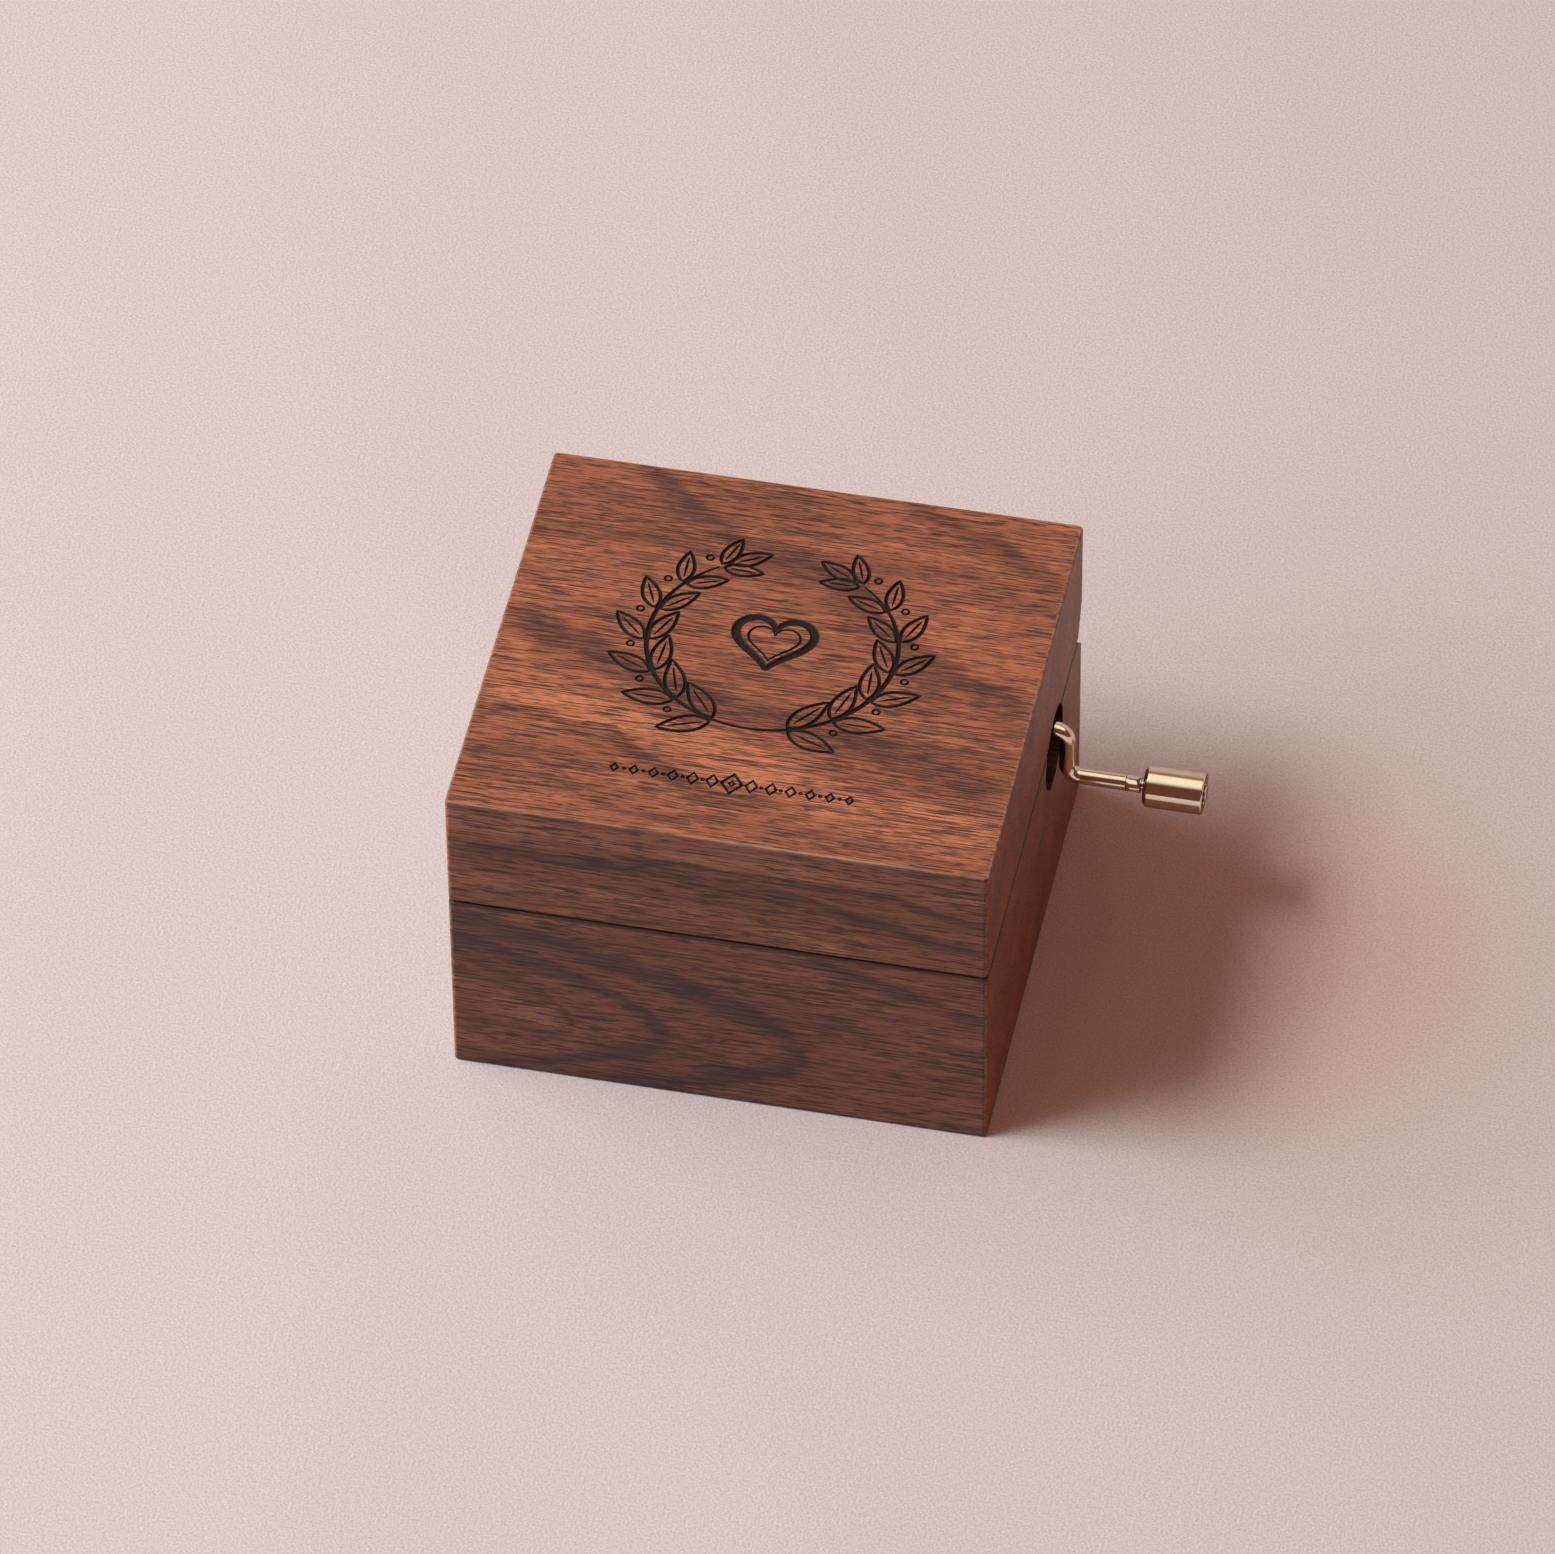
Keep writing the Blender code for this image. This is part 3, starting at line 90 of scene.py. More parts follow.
# Light: a lamp on the left, a broad window further left and low, and a dim warm room
LAMP_DISTANCE = 1.5
KEY_DIRECTION = Vector((-0.525, -0.174, 0.833))
KEY_SIZE = (0.61, 0.41)
KEY_POWER = 9.9
KEY_COLOUR = (0.99, 0.98, 1.0)
WINDOW_DIRECTION = Vector((-0.838, -0.130, 0.529))
WINDOW_SIZE = (2.0, 1.15)
WINDOW_POWER = 21.6
WINDOW_COLOUR = (0.64, 0.90, 1.0)
ROOM_COLOUR = (0.33, 0.170, 0.117)
ROOM_FRONT = 0.38
ROOM_BACK = 1.45
BACKDROP_COLOUR = (0.70, 0.585, 0.555)

# What bright metal mirrors. A turn is 0 level in front, 0.5 overhead and 1 level behind. Each
# pair says where something starts and where it is full.
CEILING_COLOUR = (1.02, 0.92, 0.76)
WALL_COLOUR = (0.52, 0.41, 0.35)
RAIL_COLOUR = (0.34, 0.18, 0.105)
UNLIT_COLOUR = (0.115, 0.052, 0.031)
CEILING_TURNS = ((0.30, 0.43), (0.66, 0.59))
CEILING_SIDES = ((-0.62, -0.44), (0.85, 0.65))
RAIL_TURN = (0.50, 0.68)
WALL_TURN = (0.70, 0.79)

# Backdrop paper: noises as scale, detail and roughness
FLOOR_SIZE = 6.0
FLOOR_BOUNCE = 0.36
TOOTH_NOISE = (3.0, 2.0, 0.6)
CLOUD_NOISE = (0.02, 2.0, 0.5)
CLOUD_SHARE = 0.06
PAPER_TONES = ((0.34, (0.700, 0.573, 0.538)), (0.66, (0.875, 0.730, 0.694)))
PAPER_ROUGHNESS = 0.9
PAPER_SPECULAR = 0.2
PAPER_RELIEF = 0.11 * MM

# Carved ornament on the lid's top: millimetres, degrees, and shares of a length
WREATH_CENTRE = Vector((0.0, 3.0))
WREATH_RADIUS = 15.0
WREATH_FLATTEN = 0.95
WREATH_START = -84
WREATH_END = 58
STEM_WIDTH = 0.68
STEM_LEAD = 14
STEM_STOP = 4
STEM_STEPS = 40
STEM_ENDS = 0.35
LEAF_PAIRS = 7
LEAF_LENGTH = 6.4
LEAF_WIDTH = 2.5
LEAF_SPREAD = 36
LEAF_SHRINK = 0.25
LEAF_GAP = STEM_WIDTH * 0.9
LEAF_STEPS = 12
FIRST_PAIR_LEAD = 10
TIP_LEAF_LEAD = 2
TIP_LEAF_SIZE = 0.8
RIB_PLACES = (0.14, 0.3, 0.5, 0.68, 0.8)
RIB_WIDTH = 0.34
RIB_ENDS = 0.3
OUTLINE_WIDTH = 0.50
BERRY_RADIUS = 0.42
BERRY_REACH = 1.9
BERRY_BACK = 1.2
BERRY_STEPS = 11
HEART_WIDTH = 9.5
HEART_POINTS = 64
HEART_LINES = ((1.0, 1.25), (0.66, 0.36))
RULE_Y = -20.5
RULE_STEP = 2.35
RULE_COUNT = 6
RULE_MIDDLE = ((1.25, 1.55, 0.55), (0.35, 0.45, 0.35))
RULE_LOZENGE = (0.75, 1.05)
RULE_SHRINK = (0.3, 0.45)
RULE_LINE = 0.44
DOT_RADIUS = 0.17
DOT_LINE = 0.26
DOT_STEPS = 7
GROOVE_DEPTH = 0.28
GROOVE_FLOOR = 0.55

# Burnt wood in the grooves
SOOT_NOISE = (6.0, 4.0, 0.7)
SOOT_TONES = ((0.3, (0.010, 0.006, 0.005)), (0.75, (0.042, 0.021, 0.015)))
SCORCHED_COLOUR = (0.115, 0.048, 0.030)
SCORCHED_SHARE = 0.7
SOOT_ROUGHNESS = 0.85
SOOT_SPECULAR = 0.25
SOOT_RELIEF = 0.08 * MM

# Growth lines, in millimetres: points, half width, strength, and how soft the crisp side is.
# The crisp side is the upper one, or the lower one where the half width is negative.
LID_TOP_LINES = (
    (
        ((-24, 31), (-16, 25), (-7.5, 19), (3, 15.5), (9, 13), (13, 7.5), (21, 1.5), (33, -1.5)),
        2.6, 1.0, 0.75,
    ),
    (((2, 16), (8, 11.5), (11.5, 8.3), (14.5, 5), (20, 2.3), (26, 0.8)), 4.6, 0.95, 0.45),
    (((9, 31), (17.5, 26), (24, 23.6), (33, 18.5)), 2.1, 1.0, 0.75),
    (
        ((-33, 2.5), (-22, -1.7), (-12, -6.7), (-5, -8.3), (10, -10.8), (19, -12.9), (33, -16)),
        3.4, 0.95, 0.75,
    ),
    (((-18, -8.0), (-10, -8.9), (0, -9.4), (11, -11.2), (24, -13.4)), 0.7, 0.9, 0.6),
    (
        ((-33, -13.3), (-24, -13.8), (-17, -15.4), (-10, -19.2), (-1, -22.8), (10, -23.6)),
        1.9, 0.85, 0.4,
    ),
    (((-33, -23.3), (-24, -24), (-18, -25), (-12, -27.3), (-2, -28)), 1.6, 0.55, 0.75),
    (((-33, -20.3), (-26, -20.8), (-19, -23), (-16, -26.5)), 0.9, 0.6, 0.75),
    (((14, -20.3), (26, -23.3), (33, -25)), 1.5, 0.5, 0.75),
)
LID_TOP_PALE = (
    (((-33, -8.5), (-22, -12), (-10, -14.5), (0, -17.3), (8, -19.8), (33, -24)), 4.4, 1.9, 0.75),
    (((-33, -3), (-27, -6), (-20, -10)), 3.4, 1.1, 0.75),
    (((-33, 14), (-18, 9), (-2, 3), (14, -4), (33, -8)), 3.5, 0.35, 0.75),
)
LID_FRONT_LINES = (
    (((-33, 37.2), (-7.5, 37.4), (9, 36.6), (17.5, 34.4), (26, 32.4), (33, 31.6)), 1.7, 1.05, 0.75),
    (((-12, 39.4), (0, 39.3), (20, 39.0), (38, 39.1)), 1.0, 1.0, 0.3),
    (((-33, 42.6), (-10, 42.0), (10, 42.3), (33, 41.6)), 0.5, 0.45, 0.75),
)
LID_FRONT_PALE = (
    (((-38, 31.3), (-20, 32.4), (-13, 32.1), (9, 29.9), (19, 27.0)), 2.6, 1.4, 0.15),
    (((-38, 41.8), (0, 41.3), (20, 41.0), (38, 41.0)), -2.6, 1.5, 0.15),
)
BASE_FRONT_LINES = (
    (((8, 26.8), (14, 25.4), (21, 23.5), (33, 19.6)), 1.5, 0.85, 0.5),
    (((-33, 25.4), (-24, 24.8), (-12, 24.4), (-2, 23.6)), 0.8, 0.5, 0.75),
)
BASE_FRONT_PALE = (
    (((-38, 13.0), (-30, 12.6), (-24, 11.2), (-19, 8.6), (-16, 6.0)), 3.6, 2.0, 0.3),
    (((-38, 4.0), (-28, 4.2), (-20, 5.0), (-14, 7.0)), -2.8, 1.8, 0.3),
    (((8, 21.0), (20, 17.0), (36, 13.0)), 4.5, 0.6, 0.75),
    (((-38, 27.0), (-26, 26.8), (-10, 26.5)), 1.8, 1.2, 0.5),
    (((-38, 19.0), (-28, 18.8), (-18, 18.0)), 2.6, 0.7, 0.75),
)
TOP_LEAN = 1.3
LINE_REACH = 36.0
LINE_FADE = 5.0
LINE_OVERHANG = 1.0
CURVE_SPAN = 100.0

# The base's front also has nested arcs: the X of each tip, half width and strength. A line's or
# arc's shade across it starts, peaks and ends at these counts of its half width.
BASE_ARCS = ((-6.7, 1.3, 1.0), (9.8, 1.8, 0.95), (-18.0, 0.8, 0.5))
ARC_HEIGHT = 9.3
ARC_OPENING = (0.30, 0.155)
ARC_BLEND = 1.0
ARC_START, ARC_PEAK, ARC_END = -2.2, 0.2, 1.0
LINE_START, LINE_PEAK = -1.35, 0.35

# Walnut's grain: cycles per millimetre along X, Y and Z, octaves, and how strong each next one is
WAVER_GRAIN = ((0.16, 0.3, 0.3), 3.0, 0.5)
BAND_GRAIN = ((0.018, 0.10, 0.10), 3.0, 0.5)
STREAK_GRAIN = ((0.035, 1.1, 1.1), 3.0, 0.6)
MOTTLE_GRAIN = ((0.06, 0.22, 0.22), 2.0, 0.5)
FIBRE_GRAIN = ((0.12, 3.4, 3.4), 3.0, 0.7)
FLECK_GRAIN = ((1.1, 5.5, 5.5), 2.0, 0.6)
CROWD_GRAIN = ((0.05, 0.12, 0.12), 2.0, 0.5)
WAVER_REACH = 1.8
FRONT_WAVER = 0.45
RING_BEND = 9.0
RINGS_PER_MM = 0.16
LATE_WOOD = ((0.45, 0.93), (1.0, 0.95))

# Walnut's tone: what each part of the grain adds to the plain tone, and the colours of the sum
PLAIN_TONE = 0.125
BAND_TONE = 0.24
STREAK_TONE = 0.32
MOTTLE_TONE = 0.20
DARK_TONE = -0.165
PALE_TONE = 0.09
LATE_TONE = -0.045
DARK_BREAKS = (0.3, 0.7, 0.75, 1.1)
WALNUT_TONES = (
    (0.22, (0.140, 0.048, 0.030)),
    (0.36, (0.245, 0.080, 0.044)),
    (0.50, (0.410, 0.134, 0.066)),
    (0.66, (0.600, 0.208, 0.102)),
)
FIBRE_TONES = ((0.34, (0.44, 0.42, 0.41)), (0.66, (1.52, 1.51, 1.50)))
FLECK_TONES = ((0.34, (0.74, 0.72, 0.71)), (0.66, (1.30, 1.29, 1.28)))
FLECK_SHARE = 0.5
# Painted shade: factors that darken and cool the faces across Y, front and back, of the lid and of
# the base
LID_FRONT_PAINTED_SHADE = (0.75, 0.85, 1.0)
BASE_FRONT_PAINTED_SHADE = (0.66, 0.73, 0.95)
LID_PLACE = (3.0, 7.0, 1.0)
BASE_PLACE = (8.0, 2.0, 5.0)

# Pores: the size of a dash in millimetres, its level, its strength, and a shift of its noise
PORES = (
    ((3.8, 0.21, 0.21), 0.594, 0.88, (0, 0, 0)),
    ((2.6, 0.15, 0.15), 0.592, 0.76, (31, 17, 9)),
    ((9.0, 0.24, 0.24), 0.612, 0.94, (11, 5, 3)),
)
PORE_COLOUR = (0.060, 0.021, 0.015)
PORE_EDGE = 0.05
CROWD_REACH = 0.14
DARK_CROWD = 0.04
FIBRE_RANGE = (0.3, 0.7)
WALNUT_ROUGHNESS = (0.40, 0.52)
WALNUT_IOR = 1.46
FIBRE_RELIEF = 0.25
WALNUT_RELIEF = 0.07 * MM
FRONT_FACING = (0.45, 0.85)

# Rubbed parts of the wood, and painted shade in the crank's hole and along the base's parting and
# foot, in millimetres; the hole's centre is at Y and Z
PARTING_HEIGHT = 27.6
WORN_COLOUR = (0.50, 0.27, 0.18)
WEAR_WIDTH = (0.45, 0.18)
WEAR_PATCHES = (0.38, 0.62, 0.1, 0.7)
WEAR_OFF_PARTING = (0.6, 0.9)
WEAR_OFF_FOOT = (0.3, 0.8)
# Colour of the painted shade
PAINTED_SHADE_COLOUR = (0.030, 0.012, 0.008)
BORE_CENTRE = (12.1, 24.4)
BORE_RADIUS = 5.4
BORE_EDGE = (0.18, 0.04)
BORE_DEPTH = (24, 26)
BORE_PAINTED_SHADE = 0.76
SKIN_DEPTH = (0.45, 0.3)
# Painted shade along the base's rounded top edge at the parting
TOP_EDGE = (0.48, 0.28)
TOP_EDGE_PAINTED_SHADE = 0.76
# Painted contact shadow along the base's foot, where it meets the floor
FOOT_EDGE = (0.5, 0.2)
FOOT_PAINTED_SHADOW = 0.72

# Metals: two tones, the range of roughness, cycles of the grain per millimetre, and what is special
METAL_LOOKS = {
    "plated_wire": dict(
        name="pale_gold_plating", light=(0.93, 0.85, 0.72), dark=(0.87, 0.77, 0.62),
        roughness=(0.05, 0.10), grain=(1, 4, 4), rim=(0.42, 0.38, 0.34),
    ),
    "brass": dict(
        name="turned_brass", light=(0.86, 0.66, 0.34), dark=(0.76, 0.56, 0.26),
        roughness=(0.20, 0.34), grain=(6, 0.8, 6), spots=0.1,
    ),
    "steel": dict(
        name="zinc_plated_steel", light=(0.60, 0.61, 0.62), dark=(0.46, 0.47, 0.50),
        roughness=(0.22, 0.36), grain=(3, 3, 3),
    ),
    "nickel": dict(
        name="nickel_plating", light=(0.66, 0.63, 0.58), dark=(0.56, 0.53, 0.49),
        roughness=(0.14, 0.26), grain=(3, 3, 3),
    ),
    "cast_zinc": dict(
        name="cast_zinc", light=(0.56, 0.55, 0.52), dark=(0.42, 0.41, 0.39),
        roughness=(0.38, 0.55), grain=(2, 2, 2), relief=0.03 * MM, spots=0.3,
    ),
    "sheet_steel": dict(
        name="sheet_steel", light=(0.66, 0.64, 0.58), dark=(0.52, 0.50, 0.45),
        roughness=(0.24, 0.40), grain=(0.4, 6, 6),
    ),
    "comb_steel": dict(
        name="ground_steel", light=(0.55, 0.56, 0.58), dark=(0.42, 0.43, 0.46),
        roughness=(0.18, 0.36), grain=(0.5, 9, 9),
    ),
    "bronze": dict(
        name="bearing_bronze", light=(0.62, 0.38, 0.18), dark=(0.44, 0.25, 0.12),
        roughness=(0.26, 0.42), grain=(3, 3, 3), spots=0.3,
    ),
}
TARNISH_NOISE = (0.35, 3.0, 0.6)
TARNISH_RANGE = (0.35, 0.7)
SPOT_NOISE = (2.2, 2.0, 0.5)
SPOT_RANGE = (0.62, 0.72)
SPOT_DARKENING = 0.55
METAL_OCTAVES = (4.0, 0.65)
METAL_RANGE = (0.3, 0.7)

# Crank
WIRE_RADIUS = 1.0 * MM
WIRE_SIDES = 48
ARM_CLEARANCE = 0.6 * MM
SHAFT_BEND_RADIUS = 1.7 * MM
HANDLE_BEND_RADIUS = 1.8 * MM
BEND_STEPS = 24
ROUTE_STEP = 0.05 * MM
PINCH_LENGTH = 1.8 * MM
PINCH_WIDE = 1.14 * MM
PINCH_THIN = 0.84 * MM
KNOB_PLAY = 0.4 * MM
KNOB_PIN_RADIUS = 0.72 * MM
KNOB_INNER_CHAMFER = 0.4 * MM
KNOB_OUTER_CHAMFER = 0.15 * MM
KNOB_RECESS_RADIUS = 1.4 * MM
KNOB_RECESS_DEPTH = 0.5 * MM
KNOB_SOFT_EDGE = 0.20 * MM
KNOB_CRISP_EDGE = 0.05 * MM
KNOB_SIDES = 128
SIDE_PLAY = 0.2 * MM
RUN_CLEARANCE = 0.08 * MM

# Rounded edges of the movement's pieces, and of those whose teeth or pins are finer
EDGE_ROUND = 0.06 * MM
EDGE_SEGMENTS = 2
FINE_EDGES = {"cylinder": 0, "worm": 0, "cylinder_wheel": 0.03 * MM, "comb": 0.04 * MM}


class Nodes:
    """A node tree, with a short way to add each kind of node. Places are in millimetres."""

    def __init__(self, tree):
        self.tree = tree

    def add(self, kind, inputs=(), **settings):
        node = self.tree.nodes.new(kind)
        for key, value in settings.items():
            setattr(node, key, value)
        for key, value in dict(inputs).items():
            self.put(node.inputs[key], value)
        return node

    def put(self, socket, value):
        if isinstance(value, bpy.types.NodeSocket):
            self.tree.links.new(value, socket)
        else:
            socket.default_value = value

    def place(self):
        coordinates = self.add("ShaderNodeTexCoord").outputs["Object"]
        return self.stretch(coordinates, (1 / MM, 1 / MM, 1 / MM))

    def facing(self, axis):
        """1 where a face of the piece looks along the named axis, whichever way."""
        normal = self.add("ShaderNodeTexCoord").outputs["Normal"]
        return self.span(self.math("ABSOLUTE", self.split(normal)[axis]), *FRONT_FACING)

    def stretch(self, vector, factors):
        node = self.add("ShaderNodeVectorMath", {0: vector, 1: factors}, operation="MULTIPLY")
        return node.outputs[0]

    def shift(self, vector, offset):
        node = self.add("ShaderNodeVectorMath", {0: vector, 1: offset}, operation="ADD")
        return node.outputs[0]

    def split(self, vector):
        return self.add("ShaderNodeSeparateXYZ", {"Vector": vector}).outputs

    def math(self, operation, *values):
        node = self.add("ShaderNodeMath", operation=operation)
        for socket, value in zip(node.inputs, values):
            self.put(socket, value)
        return node.outputs[0]

    def product(self, first, *others):
        for other in others:
            first = self.math("MULTIPLY", first, other)
        return first

    def noise(self, vector, scale, detail, roughness):
        inputs = {"Vector": vector, "Scale": scale, "Detail": detail, "Roughness": roughness}
        return self.add("ShaderNodeTexNoise", inputs).outputs["Fac"]

    def grain(self, place, cycles, detail, roughness):
        """Noise with its own count of cycles per millimetre along each axis."""
        return self.noise(self.stretch(place, cycles), 1.0, detail, roughness)

    def dashes(self, place, size, level, crowd):
        """Uneven dashes, 1 inside and 0 outside, where noise and crowding pass a level."""
        height = self.grain(place, [1 / s for s in size], 1.0, 0.5)
        return self.span(self.math("ADD", height, crowd), level, level + PORE_EDGE)

    def span(self, value, low, high, start=0.0, end=1.0, smooth=True):
        inputs = {0: value, 1: low, 2: high, 3: start, 4: end}
        kind = "SMOOTHSTEP" if smooth else "LINEAR"
        return self.add("ShaderNodeMapRange", inputs, interpolation_type=kind).outputs[0]

    def ramp(self, value, stops):
        node = self.add("ShaderNodeValToRGB", {"Fac": value})
        elements = node.color_ramp.elements
        while len(elements) < len(stops):
            elements.new(0.5)
        for element, (position, colour) in zip(elements, stops):
            element.position = position
            element.color = (*colour, 1.0)
        return node.outputs["Color"]

    def mix(self, factor, first, second, blend="MIX"):
        node = self.add("ShaderNodeMix", data_type="RGBA", blend_type=blend)
        self.put(node.inputs[0], factor)
        for socket, value in ((node.inputs[6], first), (node.inputs[7], second)):
            self.put(socket, value if isinstance(value, bpy.types.NodeSocket) else (*value, 1.0))
        return node.outputs[2]

    def rays(self, *kinds):
        """1 for any of the named kinds of ray, such as "Camera" or "Glossy"."""
        path = self.add("ShaderNodeLightPath").outputs
        found = path[f"Is {kinds[0]} Ray"]
        for kind in kinds[1:]:
            found = self.math("MAXIMUM", found, path[f"Is {kind} Ray"])
        return found


class Shader(Nodes):
    """A material with one Principled surface."""

    def __init__(self, name):
        self.material = bpy.data.materials.new(name)
        self.material.use_nodes = True
        super().__init__(self.material.node_tree)
        self.surface = self.tree.nodes["Principled BSDF"]

    def set(self, **values):
        for name, value in values.items():
            socket_name = name.replace("_", " ").title().replace("Ior", "IOR")
            self.put(self.surface.inputs[socket_name], value)

    def bump(self, height, distance, strength=1.0):
        inputs = {"Height": height, "Distance": distance, "Strength": strength}
        self.put(self.surface.inputs["Normal"], self.add("ShaderNodeBump", inputs).outputs[0])


def add_camera():
    angles = (VIEW_AZIMUTH, VIEW_ELEVATION, VIEW_ROLL)
    azimuth, elevation, roll = (math.radians(angle) for angle in angles)
    level = math.cos(elevation)
    forward = Vector((math.sin(azimuth) * level, math.cos(azimuth) * level, -math.sin(elevation)))
    right = forward.cross(Vector((0, 0, 1))).normalized()
    up = right.cross(forward)
    rolled_right = math.cos(roll) * right + math.sin(roll) * up
    rolled_up = math.cos(roll) * up - math.sin(roll) * right
    data = bpy.data.cameras.new("camera")
    data.sensor_width = SENSOR_WIDTH
    data.lens = FOCAL_PIXELS * SENSOR_WIDTH / PHOTO_WIDTH
    data.clip_start, data.clip_end = CLIP_RANGE
    camera = bpy.data.objects.new("camera", data)
    turn = Matrix((rolled_right, rolled_up, -forward)).transposed().to_4x4()
    camera.matrix_world = Matrix.Translation(VIEW_TARGET - VIEW_DISTANCE * forward) @ turn
    bpy.context.scene.collection.objects.link(camera)
    bpy.context.scene.camera = camera


def area_lamp(name, direction, size, power, colour):
    """A large oval lamp that looks at the box; its size is its width and its height."""
    data = bpy.data.lights.new(name, "AREA")
    data.shape = "ELLIPSE"
    data.size, data.size_y = size
    data.energy = power
    data.color = colour
    lamp = bpy.data.objects.new(name, data)
    place = direction.normalized() * LAMP_DISTANCE
    turn = place.to_track_quat("Z", "Y").to_matrix().to_4x4()
    lamp.matrix_world = Matrix.Translation(place) @ turn
    bpy.context.scene.collection.objects.link(lamp)


def add_room():
    """A dim warm room. Bright metal mirrors its ceiling light, grey back wall and dark front."""
    world = bpy.data.worlds.new("room")
    world.use_nodes = True
    bpy.context.scene.world = world
    room = Nodes(world.node_tree)
    x, y, z = room.split(room.add("ShaderNodeTexCoord").outputs["Generated"])
    depth = room.span(y, -1.0, 1.0, ROOM_FRONT, ROOM_BACK, smooth=False)
    matt = room.mix(1.0, ROOM_COLOUR, room.mix(depth, (0, 0, 0), (1, 1, 1)), "MULTIPLY")
    forward = room.math("MULTIPLY", y, -1.0)
    turn = room.math("DIVIDE", room.math("ARCTAN2", z, forward), math.pi)
    ceiling = room.product(
        *(room.span(turn, *edge) for edge in CEILING_TURNS),
        *(room.span(x, *edge) for edge in CEILING_SIDES),
    )
    walls = room.mix(room.span(turn, *RAIL_TURN), UNLIT_COLOUR, RAIL_COLOUR)
    walls = room.mix(room.span(turn, *WALL_TURN), walls, WALL_COLOUR)
    mirrored = room.mix(ceiling, walls, CEILING_COLOUR)
    colour = room.mix(room.rays("Glossy"), matt, mirrored)
    colour = room.mix(room.rays("Camera", "Transmission"), colour, BACKDROP_COLOUR)
    room.put(world.node_tree.nodes["Background"].inputs["Color"], colour)


def paper():
    """Matt, pale pink backdrop paper with a fine tooth. It throws little of its own light back."""
    shader = Shader("backdrop_paper")
    place = shader.place()
    tooth = shader.noise(place, *TOOTH_NOISE)
    cloud = shader.noise(place, *CLOUD_NOISE)
    tooth_part = shader.math("MULTIPLY", tooth, 1 - CLOUD_SHARE)
    tone = shader.math("ADD", tooth_part, shader.math("MULTIPLY", cloud, CLOUD_SHARE))
    colour = shader.ramp(tone, PAPER_TONES)
    dimmed = shader.mix(1.0, colour, (FLOOR_BOUNCE,) * 3, "MULTIPLY")
    seen = shader.rays("Camera", "Glossy", "Transmission")
    shader.set(base_color=shader.mix(seen, dimmed, colour))
    shader.set(roughness=PAPER_ROUGHNESS, specular_ior_level=PAPER_SPECULAR)
    shader.bump(tooth, PAPER_RELIEF, 0.6)
    return shader.material


def add_floor():
    bm = bmesh.new()
    bmesh.ops.create_grid(bm, x_segments=8, y_segments=8, size=FLOOR_SIZE / 2)
    floor = link_mesh("floor", bm, paper())
    floor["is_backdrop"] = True


def link_mesh(name, bm, *materials):
    """A new object from a mesh, without the corner normals that a copied node was packed with."""
    mesh = bpy.data.meshes.new(name)
    bm.to_mesh(mesh)
    bm.free()
    packed_normals = mesh.attributes.get("custom_normal")
    if packed_normals:
        mesh.attributes.remove(packed_normals)
    for material in materials:
        mesh.materials.append(material)
    obj = bpy.data.objects.new(name, mesh)
    bpy.context.scene.collection.objects.link(obj)
    return obj


def line_height(shader, along, points):
    """Where a smooth line through the points lies across the grain, for each place along it."""
    low, high = -LINE_REACH, LINE_REACH
    share_along = shader.span(along, low, high, smooth=False)
    node = shader.add("ShaderNodeFloatCurve", {"Value": share_along})
    curve = node.mapping.curves[0]
    shares = [((a - low) / (high - low), 0.5 + b / CURVE_SPAN) for a, b in points]
    slope_in = (shares[1][1] - shares[0][1]) / (shares[1][0] - shares[0][0])
    slope_out = (shares[-1][1] - shares[-2][1]) / (shares[-1][0] - shares[-2][0])
    curve.points[0].location = (0.0, shares[0][1] - slope_in * shares[0][0])
    curve.points[-1].location = (1.0, shares[-1][1] + slope_out * (1 - shares[-1][0]))
    for a, b in shares:
        curve.points.new(a, b)
    node.mapping.update()
    return shader.math("MULTIPLY_ADD", node.outputs[0], CURVE_SPAN, -CURVE_SPAN / 2)


def grain_lines(shader, along, across, lines, waver):
    """The strongest of some growth lines: each is soft on one side, and fades out at its ends."""
    found = 0.0
    for points, half_width, strength, softness in lines:
        wavering = shader.math("ADD", across, waver)
        offset = shader.math("SUBTRACT", wavering, line_height(shader, along, points))
        offset = shader.math("DIVIDE", offset, half_width)
        first, last = points[0][0], points[-1][0]
        line = shader.product(
            shader.span(offset, LINE_START, LINE_PEAK),
            shader.span(offset, LINE_PEAK + softness, LINE_PEAK),
            shader.span(along, first - LINE_OVERHANG, first + LINE_FADE),
            shader.span(along, last + LINE_OVERHANG, last - LINE_FADE),
            strength,
        )
        found = shader.math("MAXIMUM", found, line)
    return found


def grain_arcs(shader, along, height, waver):
    """Nested growth lines that open to the left, steeper below than above."""
    rise = shader.math("SUBTRACT", height, ARC_HEIGHT)
    below, above = ((opening,) * 3 for opening in ARC_OPENING)
    opening = shader.mix(shader.span(rise, -ARC_BLEND, ARC_BLEND), below, above)
    bent = shader.product(opening, rise, rise)
    steepness = shader.product(2.0, opening, shader.math("ABSOLUTE", rise))
    slant = shader.math("SQRT", shader.math("MULTIPLY_ADD", steepness, steepness, 1.0))
    found = 0.0
    for tip, half_width, strength in BASE_ARCS:
        reach = shader.math("SUBTRACT", shader.math("ADD", along, bent), tip)
        offset = shader.math("ADD", shader.math("DIVIDE", reach, slant), waver)
        arc = shader.product(
            shader.span(offset, ARC_START * half_width, ARC_PEAK * half_width),
            shader.span(offset, ARC_END * half_width, ARC_PEAK * half_width),
            strength,
        )
        found = shader.math("MAXIMUM", found, arc)
    return found


